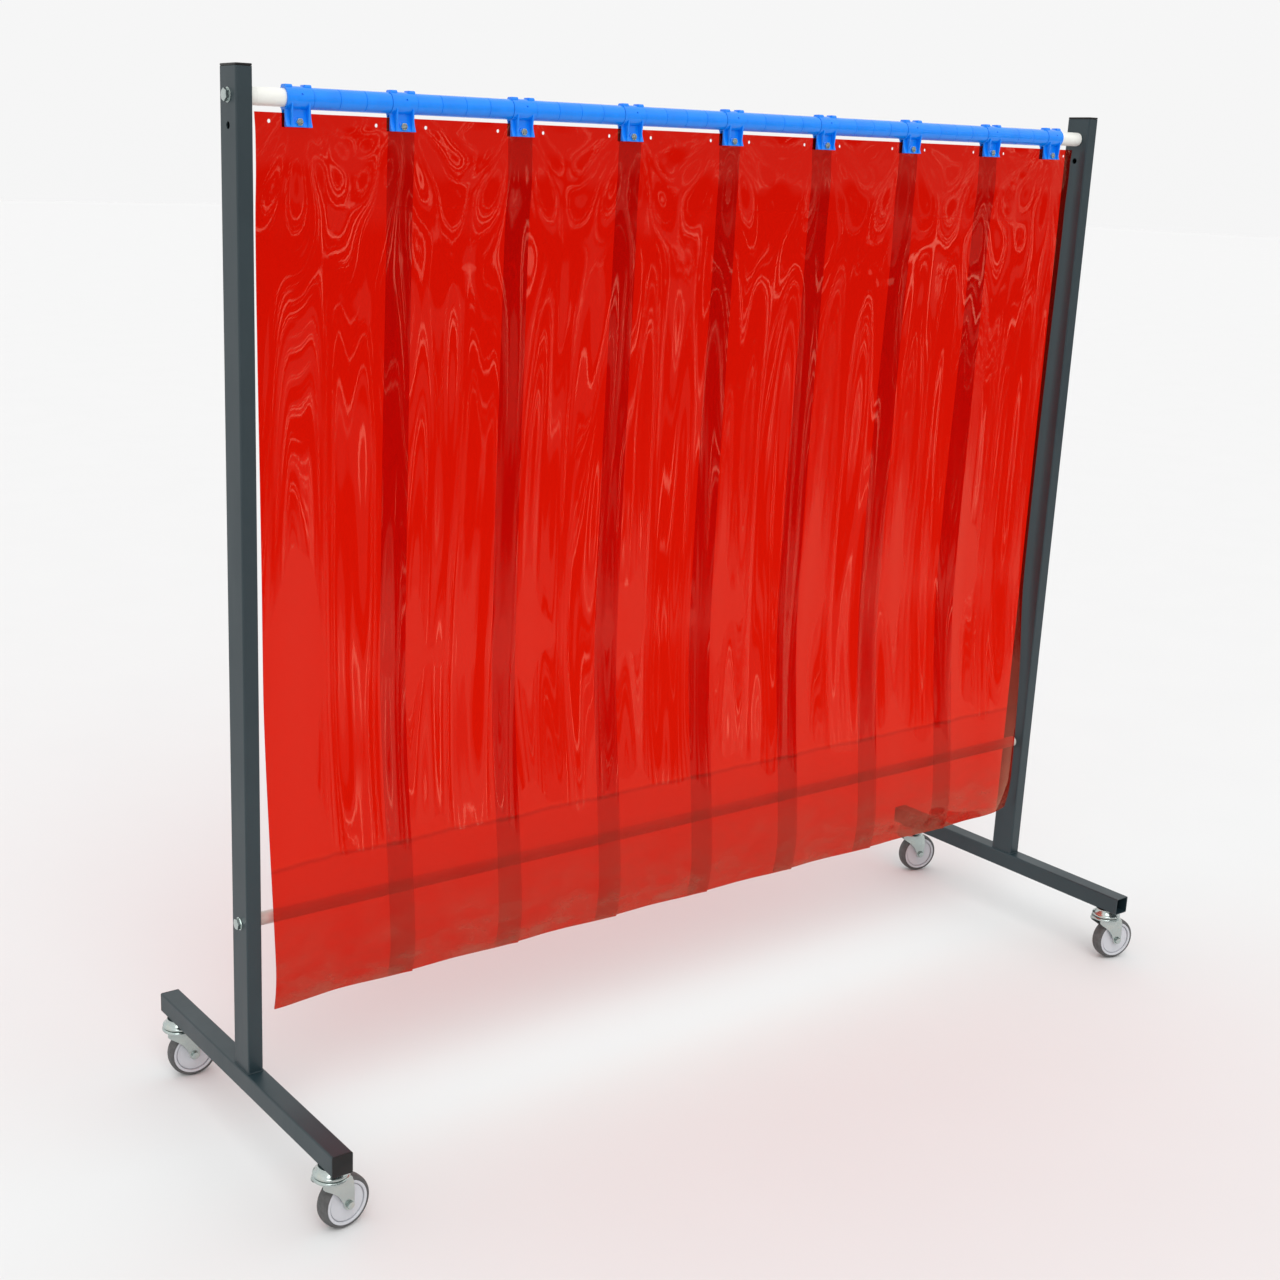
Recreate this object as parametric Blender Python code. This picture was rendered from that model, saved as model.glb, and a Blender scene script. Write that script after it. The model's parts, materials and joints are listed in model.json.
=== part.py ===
"""Welding curtain screen: two T-shaped legs on swivel casters, a hook rail, a tie bar and overlapped strips.

Everything is in metres with +Z up, and the ground is at Z = 0. X runs along the rail from the left leg to the
right leg, and +Y points to the back. The finished model is shifted so that its box is centred on the origin.
"""
import math

import bmesh
import bpy
from mathutils import Vector

# ---- driving dimensions -------------------------------------------------------------------------------------
FIT_GAP = 0.0003            # play between two pieces that touch
ROUND = 20                  # facets round the rail, the sleeves, the hook collars and the caster heads
SMALL_ROUND = 12            # facets round bolts and bolt holes
WHEEL_ROUND = 28            # facets round the tyre and the wheel centre
HEX_SIDES = 6
TUBE_WALL = 0.002
TUBE_CORNER = 0.003         # outside corner radius of the box tubes
CORNER_STEPS = 3
SMOOTH_UP_TO = math.radians(35)

STRIP_WIDTH = 0.300
STRIP_OVERLAP = 0.050
STRIP_THICKNESS = 0.002
STRIP_COUNT = 8
STRIP_LENGTH = 1.592
STRIP_PITCH = STRIP_WIDTH - STRIP_OVERLAP
LAYER_STEP = STRIP_THICKNESS + 2 * FIT_GAP      # from one overlapped strip to the next, front to back
HOLE_INSET_OUTER = STRIP_OVERLAP / 2            # a strip's punched holes, from its nearer side edge
HOLE_INSET_INNER = HOLE_INSET_OUTER + 0.050
STRIP_HOLE_RADIUS = 0.003
PUNCH_REACH = 0.0375        # how far each punch runs in front of and behind the rail's axis

GROUND_TO_FOOT = 0.130
FOOT_SIDE = 0.040
FOOT_LENGTH = 0.720
POST_WIDTH = 0.030
POST_DEPTH = 0.060
POST_SPACING = 2.117        # between the two posts' centre lines
CAP_PLATE = 0.004
SCREEN_HEIGHT = 1.961
PLUG_PLATE = 0.0025
PLUG_DEPTH = 0.012

FOOT_TOP = GROUND_TO_FOOT + FOOT_SIDE
RAIL_Z = SCREEN_HEIGHT - 0.049
SPARE_HOLE_DROP = 0.0475    # the unused hole under each rail bolt
TIE_Z = GROUND_TO_FOOT + 0.333
RAIL_RADIUS = 0.015
TIE_RADIUS = 0.0125
END_PLATE = 0.008           # closed end of the rail and of the tie bar that its bolt screws into
CLEAR_SPAN = POST_SPACING - POST_WIDTH

BOLT_RADIUS = 0.006
BOLT_HOLE_RADIUS = BOLT_RADIUS + FIT_GAP
HEX_RADIUS = 0.0108
HEX_HEIGHT = 0.0072

SLEEVE_RADIUS = 0.01775
BORE_RADIUS = RAIL_RADIUS + FIT_GAP
COLLAR_RADIUS = 0.019
COLLAR_WIDTH = 0.050
RIDGE_LENGTH = 0.013
RIDGE_DEPTH = 0.016
RIDGE_TOP = 0.0217
JAW_BOTTOM = 0.0465         # drops measured down from the rail's axis
JAW_TOP = 0.0165
JAW_INNER = 0.0032
JAW_WALL = 0.0030
JAW_FLARE_TOP = 0.030
JAW_FLARE_OUT = 0.0120
RIB_OFFSET = 0.016
RIB_WIDTH = 0.003
RIB_TOP = 0.006
RIB_FRONT_TOP = 0.0180
RIB_FRONT_BOTTOM = 0.0130
HOOK_BOLT_DROP = 0.0380
HOOK_BOLT_RADIUS = 0.0025
HOOK_BOLT_HEAD_RADIUS = 0.0055
HOOK_BOLT_HEAD = 0.0040
STRIP_TOP_DROP = 0.0240

CASTER_INSET = 0.040        # from the foot's end to the swivel axis
WHEEL_RADIUS = 0.050
WHEEL_WIDTH = 0.030
HUB_RADIUS = 0.042
RIM_INNER_RADIUS = 0.036
RIM_BACK = 0.0010           # the rim ring's face, back from the wheel's widest
DISC_DISH = 0.0030
BOSS_RADIUS = 0.011
BOSS_PROUD = 0.0010
TYRE_SHOULDER = 0.0085
TYRE_SHOULDER_SIDE = TYRE_SHOULDER / 2
TYRE_SHOULDER_DROP = TYRE_SHOULDER / 3
TRAIL = 0.026
AXLE_RADIUS = 0.004
AXLE_HOLE_RADIUS = AXLE_RADIUS + FIT_GAP
AXLE_HEX_RADIUS = 0.0075
AXLE_HEX_HEIGHT = 0.0050
AXLE_TIP = 0.0018           # the bolt's end past its nut
FORK_WALL = 0.0025
FORK_INNER = WHEEL_WIDTH / 2 + 0.0025
EYE_RADIUS = 0.011          # the round end of a fork leg, about the axle
EYE_START = 205
EYE_END = 365
EYE_STEPS = 6
CROWN_RADIUS = 0.034
LEG_REACH = 0.0285          # half the leg's width where it leaves the crown
LEG_HEEL = 0.0060
CROWN_BOTTOM = 0.1050
CROWN_TOP = 0.1125
CROWN_LIP = 0.0025          # bevel round the crown's upper edge
HEAD_RADIUS = 0.032
KINGPIN_RADIUS = 0.006
KINGPIN_HEAD_RADIUS = 0.010
KINGPIN_HEAD_BOTTOM = 0.1015
HEAD_CHAMFER = 0.008
STEM_LENGTH = 0.014

# Each caster stands where it was left: its name, its side, its end and where its wheel trails, in degrees.
CASTERS = (
    ("front_left", -1, -1, 6.7),
    ("rear_left", -1, 1, -6.4),
    ("front_right", 1, -1, -14.1),
    ("rear_right", 1, 1, -16.4),
)

MATERIALS = {
    "dark_powder_coat": ((0.040, 0.058, 0.062, 1.0), 0.45, 0.0),
    "cream_powder_coat": ((0.86, 0.85, 0.80, 1.0), 0.35, 0.0),
    "black_plastic": ((0.016, 0.018, 0.018, 1.0), 0.50, 0.0),
    "blue_plastic": ((0.0, 0.24, 0.86, 1.0), 0.25, 0.0),
    "red_strip": ((0.62, 0.012, 0.006, 1.0), 0.15, 0.0),
    "zinc_plate": ((0.56, 0.60, 0.58, 1.0), 0.35, 1.0),
    "grey_rubber": ((0.09, 0.09, 0.085, 1.0), 0.65, 0.0),
    "pale_wheel_plastic": ((0.62, 0.62, 0.65, 1.0), 0.40, 0.0),
}


# ---- scene helpers ------------------------------------------------------------------------------------------
def clear_scene():
    for item in list(bpy.data.objects):
        bpy.data.objects.remove(item, do_unlink=True)
    for collection in list(bpy.data.collections):
        bpy.data.collections.remove(collection)


def make_collection(name):
    collection = bpy.data.collections.new(name)
    bpy.context.scene.collection.children.link(collection)
    return collection


def make_material(name):
    colour, roughness, metallic = MATERIALS[name]
    material = bpy.data.materials.get(name) or bpy.data.materials.new(name)
    material.use_nodes = True
    shader = material.node_tree.nodes["Principled BSDF"]
    shader.inputs["Base Color"].default_value = colour
    shader.inputs["Roughness"].default_value = roughness
    shader.inputs["Metallic"].default_value = metallic
    return material


def add_empty(name, location, turn_z, parent):
    empty = bpy.data.objects.new(name, None)
    PARTS.objects.link(empty)
    empty.location = location
    empty.rotation_euler = (0.0, 0.0, turn_z)
    empty.parent = parent
    return empty


def mesh_from(vertices, faces):
    """A closed mesh from points and faces, with its faces turned outward."""
    shape = bmesh.new()
    points = [shape.verts.new(point) for point in vertices]
    for face in faces:
        shape.faces.new([points[index] for index in face])
    bmesh.ops.recalc_face_normals(shape, faces=shape.faces)
    mesh = bpy.data.meshes.new("shape")
    shape.to_mesh(mesh)
    shape.free()
    return mesh


def place(name, mesh, material, parent, location=(0.0, 0.0, 0.0), rotation=(0.0, 0.0, 0.0)):
    """One named part in the model's collection, shaded smooth across its shallow edges."""
    mesh.name = name
    mesh.materials.clear()
    mesh.materials.append(make_material(material))
    mesh.shade_smooth()
    mesh.set_sharp_from_angle(angle=SMOOTH_UP_TO)
    part = bpy.data.objects.new(name, mesh)
    PARTS.objects.link(part)
    part.location = location
    part.rotation_euler = rotation
    part.parent = parent
    return part


def combine(mesh, others, operation):
    """The mesh with each other mesh cut from it or joined to it, by exact Booleans."""
    scene = bpy.context.scene.collection
    body = bpy.data.objects.new("body", mesh)
    scene.objects.link(body)
    tools = []
    for other in others:
        tool = bpy.data.objects.new("tool", other)
        scene.objects.link(tool)
        tools.append(tool)
        step = body.modifiers.new("combine", "BOOLEAN")
        step.solver = "EXACT"
        step.operation = operation
        step.object = tool
    evaluated = body.evaluated_get(bpy.context.evaluated_depsgraph_get())
    result = bpy.data.meshes.new_from_object(evaluated)
    for item in [body] + tools:
        bpy.data.objects.remove(item, do_unlink=True)
    return result


# ---- shape helpers ------------------------------------------------------------------------------------------
def turned(mesh, matrix_rows):
    """The mesh with its axes swapped: each row names the source axis of the new X, Y or Z."""
    for vertex in mesh.vertices:
        vertex.co = Vector([vertex.co[axis] for axis in matrix_rows])
    shape = bmesh.new()
    shape.from_mesh(mesh)
    bmesh.ops.recalc_face_normals(shape, faces=shape.faces)
    shape.to_mesh(mesh)
    shape.free()
    return mesh


ALONG_Z = (0, 1, 2)
ALONG_X = (2, 0, 1)
ALONG_Y = (0, 2, 1)


def moved(mesh, offset):
    for vertex in mesh.vertices:
        vertex.co += Vector(offset)
    return mesh


def revolve(profile, facets, direction=ALONG_Z):
    """A body turned about its axis from (radius, height) points. A profile that starts and ends on the axis is
    solid, and one that never meets it is a closed ring with a bore."""
    vertices = []
    rings = []
    for radius, height in profile:
        if radius == 0.0:
            rings.append([len(vertices)] * facets)
            vertices.append((0.0, 0.0, height))
            continue
        rings.append(list(range(len(vertices), len(vertices) + facets)))
        for step in range(facets):
            angle = 2 * math.pi * step / facets
            vertices.append((radius * math.cos(angle), radius * math.sin(angle), height))
    pairs = list(zip(rings, rings[1:]))
    if profile[0][0] > 0.0:
        pairs.append((rings[-1], rings[0]))
    faces = []
    for low, high in pairs:
        for step in range(facets):
            after = (step + 1) % facets
            corners = [low[step], low[after], high[after], high[step]]
            faces.append(list(dict.fromkeys(corners)))
    return turned(mesh_from(vertices, faces), direction)


def rod(radius, start, end, facets, direction=ALONG_Z):
    return revolve([(0.0, start), (radius, start), (radius, end), (0.0, end)], facets, direction)


def prism(outline, start, end, direction=ALONG_Z):
    """A flat outline pushed out from one height to another."""
    count = len(outline)
    vertices = [(x, y, start) for x, y in outline] + [(x, y, end) for x, y in outline]
    faces = [list(range(count)), list(range(count, 2 * count))]
    for index in range(count):
        after = (index + 1) % count
        faces.append([index, after, after + count, index + count])
    return turned(mesh_from(vertices, faces), direction)


def block(size, centre):
    half_x, half_y, half_z = (side / 2 for side in size)
    outline = [(-half_x, -half_y), (half_x, -half_y), (half_x, half_y), (-half_x, half_y)]
    return moved(prism(outline, -half_z, half_z), centre)


def rounded_outline(width, depth, corner):
    """A rectangle's outline with rounded corners, in order round its middle."""
    points = []
    for quarter, (side_x, side_y) in enumerate(((1, 1), (-1, 1), (-1, -1), (1, -1))):
        for step in range(CORNER_STEPS + 1):
            angle = math.pi / 2 * (quarter + step / CORNER_STEPS)
            x = side_x * (width / 2 - corner) + corner * math.cos(angle)
            y = side_y * (depth / 2 - corner) + corner * math.sin(angle)
            points.append((x, y))
    return points


def box_tube(width, depth, start, end, direction=ALONG_Z):
    """An open-ended box tube with rounded corners."""
    outer = rounded_outline(width, depth, TUBE_CORNER)
    inner = rounded_outline(width - 2 * TUBE_WALL, depth - 2 * TUBE_WALL, TUBE_CORNER - TUBE_WALL)
    count = len(outer)
    vertices = []
    for height in (start, end):
        vertices += [(x, y, height) for x, y in outer]
        vertices += [(x, y, height) for x, y in inner]
    faces = []
    for index in range(count):
        after = (index + 1) % count
        faces.append([index, after, after + 2 * count, index + 2 * count])
        faces.append([index + count, after + count, after + 3 * count, index + 3 * count])
        faces.append([index, after, after + count, index + count])
        faces.append([index + 2 * count, after + 2 * count, after + 3 * count, index + 3 * count])
    return turned(mesh_from(vertices, faces), direction)


def tube_cap(width, depth, plate):
    """A push-in cap: its plate starts at height 0 and its plug hangs below, inside the tube."""
    slack = 2 * (TUBE_WALL + FIT_GAP)
    top = prism(rounded_outline(width, depth, TUBE_CORNER), 0.0, plate)
    corner = TUBE_CORNER - TUBE_WALL
    plug = prism(rounded_outline(width - slack, depth - slack, corner), -PLUG_DEPTH, plate / 2)
    return combine(top, [plug], "UNION")


# ---- legs ---------------------------------------------------------------------------------------------------
def build_post(name, side):
    bottom = FOOT_TOP + FIT_GAP
    mesh = box_tube(POST_WIDTH, POST_DEPTH, bottom, SCREEN_HEIGHT - CAP_PLATE - FIT_GAP)
    drills = []
    for height in (RAIL_Z, RAIL_Z - SPARE_HOLE_DROP, TIE_Z):
        drill = rod(BOLT_HOLE_RADIUS, -POST_WIDTH, POST_WIDTH, SMALL_ROUND, ALONG_X)
        drills.append(moved(drill, (0.0, 0.0, height)))
    mesh = combine(mesh, drills, "DIFFERENCE")
    place(name, mesh, "dark_powder_coat", ROOT, (side * POST_SPACING / 2, 0.0, 0.0))


def build_foot(name, side):
    mesh = box_tube(FOOT_SIDE, FOOT_SIDE, -FOOT_LENGTH / 2, FOOT_LENGTH / 2, ALONG_Y)
    drills = []
    for end in (-1, 1):
        drill = rod(KINGPIN_RADIUS + FIT_GAP, -FOOT_SIDE, 0.0, SMALL_ROUND)
        drills.append(moved(drill, (0.0, end * (FOOT_LENGTH / 2 - CASTER_INSET), 0.0)))
    mesh = combine(mesh, drills, "DIFFERENCE")
    location = (side * POST_SPACING / 2, 0.0, GROUND_TO_FOOT + FOOT_SIDE / 2)
    place(name, mesh, "dark_powder_coat", ROOT, location)


def build_post_cap(name, side):
    mesh = tube_cap(POST_WIDTH, POST_DEPTH, CAP_PLATE)
    location = (side * POST_SPACING / 2, 0.0, SCREEN_HEIGHT - CAP_PLATE)
    place(name, mesh, "black_plastic", ROOT, location)


def build_foot_plug(name, side, end):
    mesh = tube_cap(FOOT_SIDE, FOOT_SIDE, PLUG_PLATE)
    location = (side * POST_SPACING / 2, end * (FOOT_LENGTH / 2 + FIT_GAP), GROUND_TO_FOOT + FOOT_SIDE / 2)
    place(name, mesh, "black_plastic", ROOT, location, (-end * math.pi / 2, 0.0, 0.0))


def build_legs():
    for word, side in (("left", -1), ("right", 1)):
        build_post(f"post_{word}", side)
        build_foot(f"foot_{word}", side)
        build_post_cap(f"post_cap_{word}", side)
    # The right foot's front end has lost its plug and stays open.
    for word, side, end in (("front_left", -1, -1), ("rear_left", -1, 1), ("rear_right", 1, 1)):
        build_foot_plug(f"foot_plug_{word}", side, end)


# ---- rail and tie bar ---------------------------------------------------------------------------------------
def build_bar(name, radius, height):
    """A round tube between the posts, with bored end plates for its two bolts."""
    end = CLEAR_SPAN / 2 - FIT_GAP
    bore_end = end - END_PLATE
    inner = radius - TUBE_WALL
    profile = [
        (radius, -end),
        (BOLT_HOLE_RADIUS, -end),
        (BOLT_HOLE_RADIUS, -bore_end),
        (inner, -bore_end),
        (inner, bore_end),
        (BOLT_HOLE_RADIUS, bore_end),
        (BOLT_HOLE_RADIUS, end),
        (radius, end),
    ]
    mesh = revolve(profile, ROUND, ALONG_X)
    place(name, mesh, "cream_powder_coat", ROOT, (0.0, 0.0, height))


def build_bolt(name, side, height):
    """A hexagon bolt through the post into the bar's end. Its head's underside is at local X = 0."""
    shank = rod(BOLT_RADIUS, -POST_WIDTH - END_PLATE, HEX_HEIGHT / 2, SMALL_ROUND, ALONG_X)
    head = rod(HEX_RADIUS, 0.0, HEX_HEIGHT, HEX_SIDES, ALONG_X)
    mesh = combine(head, [shank], "UNION")
    location = (side * (POST_SPACING / 2 + POST_WIDTH / 2 + FIT_GAP), 0.0, height)
    turn = 0.0 if side > 0 else math.pi
    place(name, mesh, "zinc_plate", ROOT, location, (0.0, 0.0, turn))


def build_bars():
    build_bar("hook_rail", RAIL_RADIUS, RAIL_Z)
    build_bar("tie_bar", TIE_RADIUS, TIE_Z)
    for word, side in (("left", -1), ("right", 1)):
        build_bolt(f"rail_bolt_{word}", side, RAIL_Z)
        build_bolt(f"tie_bolt_{word}", side, TIE_Z)


# ---- curtain ------------------------------------------------------------------------------------------------
def hook_positions():
    """The hooks' places along the rail: one at each overlap, and one at each end strip's inner hole."""
    half = (STRIP_PITCH * STRIP_COUNT + STRIP_OVERLAP) / 2
    joints = [index * STRIP_PITCH - half + STRIP_OVERLAP / 2 for index in range(1, STRIP_COUNT)]
    return [-half + HOLE_INSET_INNER] + joints + [half - HOLE_INSET_INNER]


def jaw_outline(front):
    """The jaw's section as (depth, drop) points. The front jaw flares out toward its foot."""
    inner = JAW_INNER
    outer = JAW_INNER + JAW_WALL
    if not front:
        return [(inner, -JAW_TOP), (inner, -JAW_BOTTOM), (outer, -JAW_BOTTOM), (outer, -JAW_TOP)]
    return [
        (-inner, -JAW_TOP),
        (-outer, -JAW_TOP),
        (-outer, -JAW_FLARE_TOP),
        (-JAW_FLARE_OUT, -JAW_BOTTOM),
        (-inner, -JAW_BOTTOM),
    ]


def rib_outline():
    """A rib's section, from the collar's underside down the front jaw."""
    root = -JAW_INNER - JAW_WALL / 2
    return [
        (root, -JAW_TOP),
        (-RIB_FRONT_TOP, -RIB_TOP),
        (-RIB_FRONT_BOTTOM, -JAW_BOTTOM),
        (root, -JAW_BOTTOM),
    ]


def hook_mesh():
    """A collar round the rail with two ridges on top, two jaws below, two ribs and its clamping bolt."""
    half = COLLAR_WIDTH / 2
    ring = [(BORE_RADIUS, -half), (COLLAR_RADIUS, -half), (COLLAR_RADIUS, half), (BORE_RADIUS, half)]
    collar = revolve(ring, ROUND, ALONG_X)
    extras = []
    ridge_low = (BORE_RADIUS + COLLAR_RADIUS) / 2
    for side in (-1, 1):
        centre = (side * (half - RIDGE_LENGTH / 2), 0.0, (ridge_low + RIDGE_TOP) / 2)
        extras.append(block((RIDGE_LENGTH - FIT_GAP, RIDGE_DEPTH, RIDGE_TOP - ridge_low), centre))
    for front in (True, False):
        extras.append(prism(jaw_outline(front), -half + FIT_GAP, half - FIT_GAP, ALONG_X))
    for side in (-1, 1):
        start = side * RIB_OFFSET - RIB_WIDTH / 2
        extras.append(prism(rib_outline(), start, start + RIB_WIDTH, ALONG_X))
    front_face = -JAW_FLARE_OUT
    back_face = JAW_INNER + JAW_WALL
    shank = rod(HOOK_BOLT_RADIUS, front_face, back_face + HOOK_BOLT_HEAD / 2, SMALL_ROUND, ALONG_Y)
    head = rod(HOOK_BOLT_HEAD_RADIUS, front_face, front_face + HOOK_BOLT_HEAD, SMALL_ROUND, ALONG_Y)
    nut = rod(HOOK_BOLT_HEAD_RADIUS, back_face - JAW_WALL / 2, back_face + HOOK_BOLT_HEAD, HEX_SIDES, ALONG_Y)
    for piece in (shank, head, nut):
        extras.append(moved(piece, (0.0, 0.0, -HOOK_BOLT_DROP)))
    return combine(collar, extras, "UNION")


def sleeve_mesh(length):
    half = length / 2 - FIT_GAP
    ring = [(BORE_RADIUS, -half), (SLEEVE_RADIUS, -half), (SLEEVE_RADIUS, half), (BORE_RADIUS, half)]
    return revolve(ring, ROUND, ALONG_X)


def strip_mesh():
    """A flat strip below the rail's axis, with four punched holes along its top edge."""
    size = (STRIP_WIDTH, STRIP_THICKNESS, STRIP_LENGTH)
    sheet = block(size, (0.0, 0.0, -STRIP_TOP_DROP - STRIP_LENGTH / 2))
    punches = []
    for side in (-1, 1):
        for inset in (HOLE_INSET_OUTER, HOLE_INSET_INNER):
            punch = rod(STRIP_HOLE_RADIUS, -PUNCH_REACH, PUNCH_REACH, SMALL_ROUND, ALONG_Y)
            punches.append(moved(punch, (side * (STRIP_WIDTH / 2 - inset), 0.0, -HOOK_BOLT_DROP)))
    return combine(sheet, punches, "DIFFERENCE")


def curtain_lean():
    """How far the curtain leans forward, resting on the tie bar with its rearmost strip face."""
    strip_back = STRIP_THICKNESS / 2 + LAYER_STEP * (STRIP_WIDTH / 2) / STRIP_PITCH
    stand_off = TIE_RADIUS + 2 * FIT_GAP + strip_back
    return -math.asin(stand_off / (RAIL_Z - TIE_Z))


def build_curtain():
    lean = curtain_lean()
    places = hook_positions()
    for index, x in enumerate(places, start=1):
        place(f"hook_{index}", hook_mesh(), "blue_plastic", ROOT, (x, 0.0, RAIL_Z), (lean, 0.0, 0.0))
    for index, (start, end) in enumerate(zip(places, places[1:]), start=1):
        mesh = sleeve_mesh(end - start - COLLAR_WIDTH)
        place(f"sleeve_{index}", mesh, "blue_plastic", ROOT, ((start + end) / 2, 0.0, RAIL_Z))
    # Each strip is turned a little, so its right edge passes in front of the next strip's left edge.
    turn = -math.atan(LAYER_STEP / STRIP_PITCH)
    for index in range(STRIP_COUNT):
        x = (index - (STRIP_COUNT - 1) / 2) * STRIP_PITCH
        hanger = add_empty(f"strip_axis_{index + 1}", (x, 0.0, RAIL_Z), 0.0, ROOT)
        hanger.rotation_euler = (lean, 0.0, 0.0)
        place(f"strip_{index + 1}", strip_mesh(), "red_strip", hanger, rotation=(0.0, 0.0, turn))


# ---- casters ------------------------------------------------------------------------------------------------
def caster_head_mesh():
    """The fixed ball-race head, with its stem up into the foot and its kingpin down through the fork."""
    bottom = CROWN_TOP + FIT_GAP
    top = GROUND_TO_FOOT - FIT_GAP
    profile = [
        (0.0, KINGPIN_HEAD_BOTTOM),
        (KINGPIN_HEAD_RADIUS, KINGPIN_HEAD_BOTTOM),
        (KINGPIN_HEAD_RADIUS, CROWN_BOTTOM - FIT_GAP),
        (KINGPIN_RADIUS, CROWN_BOTTOM - FIT_GAP),
        (KINGPIN_RADIUS, bottom),
        (HEAD_RADIUS, bottom),
        (HEAD_RADIUS, top - HEAD_CHAMFER),
        (HEAD_RADIUS - HEAD_CHAMFER, top),
        (KINGPIN_RADIUS, top),
        (KINGPIN_RADIUS, top + STEM_LENGTH),
        (0.0, top + STEM_LENGTH),
    ]
    return revolve(profile, ROUND)


def fork_leg_outline():
    """The leg's side view as (along the trail, height) points, ending in a round eye about the axle."""
    top = CROWN_BOTTOM + FORK_WALL
    points = [(-LEG_REACH, top), (-LEG_REACH, CROWN_BOTTOM - LEG_HEEL)]
    for step in range(EYE_STEPS + 1):
        angle = math.radians(EYE_START + (EYE_END - EYE_START) * step / EYE_STEPS)
        points.append((TRAIL + EYE_RADIUS * math.cos(angle), WHEEL_RADIUS + EYE_RADIUS * math.sin(angle)))
    points.append((LEG_REACH, top))
    return points


def fork_mesh():
    """A round crown with two tapered legs that carry the axle behind the swivel axis."""
    hole = KINGPIN_RADIUS + FIT_GAP
    ring = [
        (hole, CROWN_BOTTOM),
        (CROWN_RADIUS, CROWN_BOTTOM),
        (CROWN_RADIUS, CROWN_TOP - CROWN_LIP),
        (CROWN_RADIUS - CROWN_LIP, CROWN_TOP),
        (hole, CROWN_TOP),
    ]
    crown = revolve(ring, ROUND)
    legs = []
    for side in (-1, 1):
        start = side * (FORK_INNER + FORK_WALL / 2) - FORK_WALL / 2
        legs.append(prism(fork_leg_outline(), start, start + FORK_WALL, ALONG_Y))
    mesh = combine(crown, legs, "UNION")
    reach = FORK_INNER + 2 * FORK_WALL
    drill = rod(AXLE_HOLE_RADIUS, -reach, reach, SMALL_ROUND, ALONG_Y)
    return combine(mesh, [moved(drill, (TRAIL, 0.0, WHEEL_RADIUS))], "DIFFERENCE")


def axle_mesh():
    """The axle bolt with its head and its nut outside the fork's legs, along Y."""
    face = FORK_INNER + FORK_WALL + FIT_GAP
    end = face + AXLE_HEX_HEIGHT
    shank = rod(AXLE_RADIUS, -end - FIT_GAP, end + AXLE_TIP, SMALL_ROUND, ALONG_Y)
    head = rod(AXLE_HEX_RADIUS, -end, -face, HEX_SIDES, ALONG_Y)
    nut = rod(AXLE_HEX_RADIUS, face, end, HEX_SIDES, ALONG_Y)
    return combine(shank, [head, nut], "UNION")


def hub_mesh():
    """The pale wheel centre, with a raised rim ring, a dished disc and a bored boss on each face."""
    half = WHEEL_WIDTH / 2
    face = [
        (AXLE_HOLE_RADIUS, half + BOSS_PROUD),
        (BOSS_RADIUS, half + BOSS_PROUD),
        (BOSS_RADIUS, half - DISC_DISH),
        (RIM_INNER_RADIUS, half - DISC_DISH),
        (RIM_INNER_RADIUS, half - RIM_BACK),
        (HUB_RADIUS, half - RIM_BACK),
    ]
    profile = face + [(radius, -height) for radius, height in reversed(face)]
    return revolve(profile, WHEEL_ROUND, ALONG_Y)


def tyre_mesh():
    half = WHEEL_WIDTH / 2
    seat = HUB_RADIUS + FIT_GAP
    shoulder = [
        (seat, half - RIM_BACK),
        (WHEEL_RADIUS - TYRE_SHOULDER_DROP, half - TYRE_SHOULDER_SIDE),
        (WHEEL_RADIUS, half - TYRE_SHOULDER),
    ]
    profile = shoulder + [(radius, -height) for radius, height in reversed(shoulder)]
    return revolve(profile, WHEEL_ROUND, ALONG_Y)


def build_caster(name, side, end, trail_degrees):
    centre = (side * POST_SPACING / 2, end * (FOOT_LENGTH / 2 - CASTER_INSET), 0.0)
    place(f"{name}_caster_head", caster_head_mesh(), "zinc_plate", ROOT, centre)
    swivel = add_empty(f"{name}_swivel_axis", centre, math.radians(trail_degrees), ROOT)
    place(f"{name}_caster_fork", fork_mesh(), "zinc_plate", swivel)
    spin = add_empty(f"{name}_wheel_axis", (TRAIL, 0.0, WHEEL_RADIUS), 0.0, swivel)
    place(f"{name}_axle", axle_mesh(), "zinc_plate", spin)
    place(f"{name}_wheel_centre", hub_mesh(), "pale_wheel_plastic", spin)
    place(f"{name}_tyre", tyre_mesh(), "grey_rubber", spin)


def build_casters():
    for name, side, end, trail_degrees in CASTERS:
        build_caster(name, side, end, trail_degrees)


# ---- finish -------------------------------------------------------------------------------------------------
def centre_model():
    """Shifts the model so that its box is centred on the origin in plan."""
    bpy.context.view_layer.update()
    corners = []
    for part in PARTS.objects:
        if part.type == "MESH":
            corners += [part.matrix_world @ vertex.co for vertex in part.data.vertices]
    middle_x = (min(c.x for c in corners) + max(c.x for c in corners)) / 2
    middle_y = (min(c.y for c in corners) + max(c.y for c in corners)) / 2
    ROOT.location = (-middle_x, -middle_y, 0.0)
    bpy.context.view_layer.update()


clear_scene()
PARTS = make_collection("welding_curtain_screen")
ROOT = add_empty("screen_origin", (0.0, 0.0, 0.0), 0.0, None)
build_legs()
build_bars()
build_curtain()
build_casters()
centre_model()
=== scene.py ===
"""Looks for the welding curtain screen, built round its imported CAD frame.

Everything is in metres in the frame's own axes: X along the rail, +Y to the back, +Z up, the ground at Z = 0.
"""
import json
import math

import bmesh
import bpy
import numpy as np
from mathutils import Matrix, Vector


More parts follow.
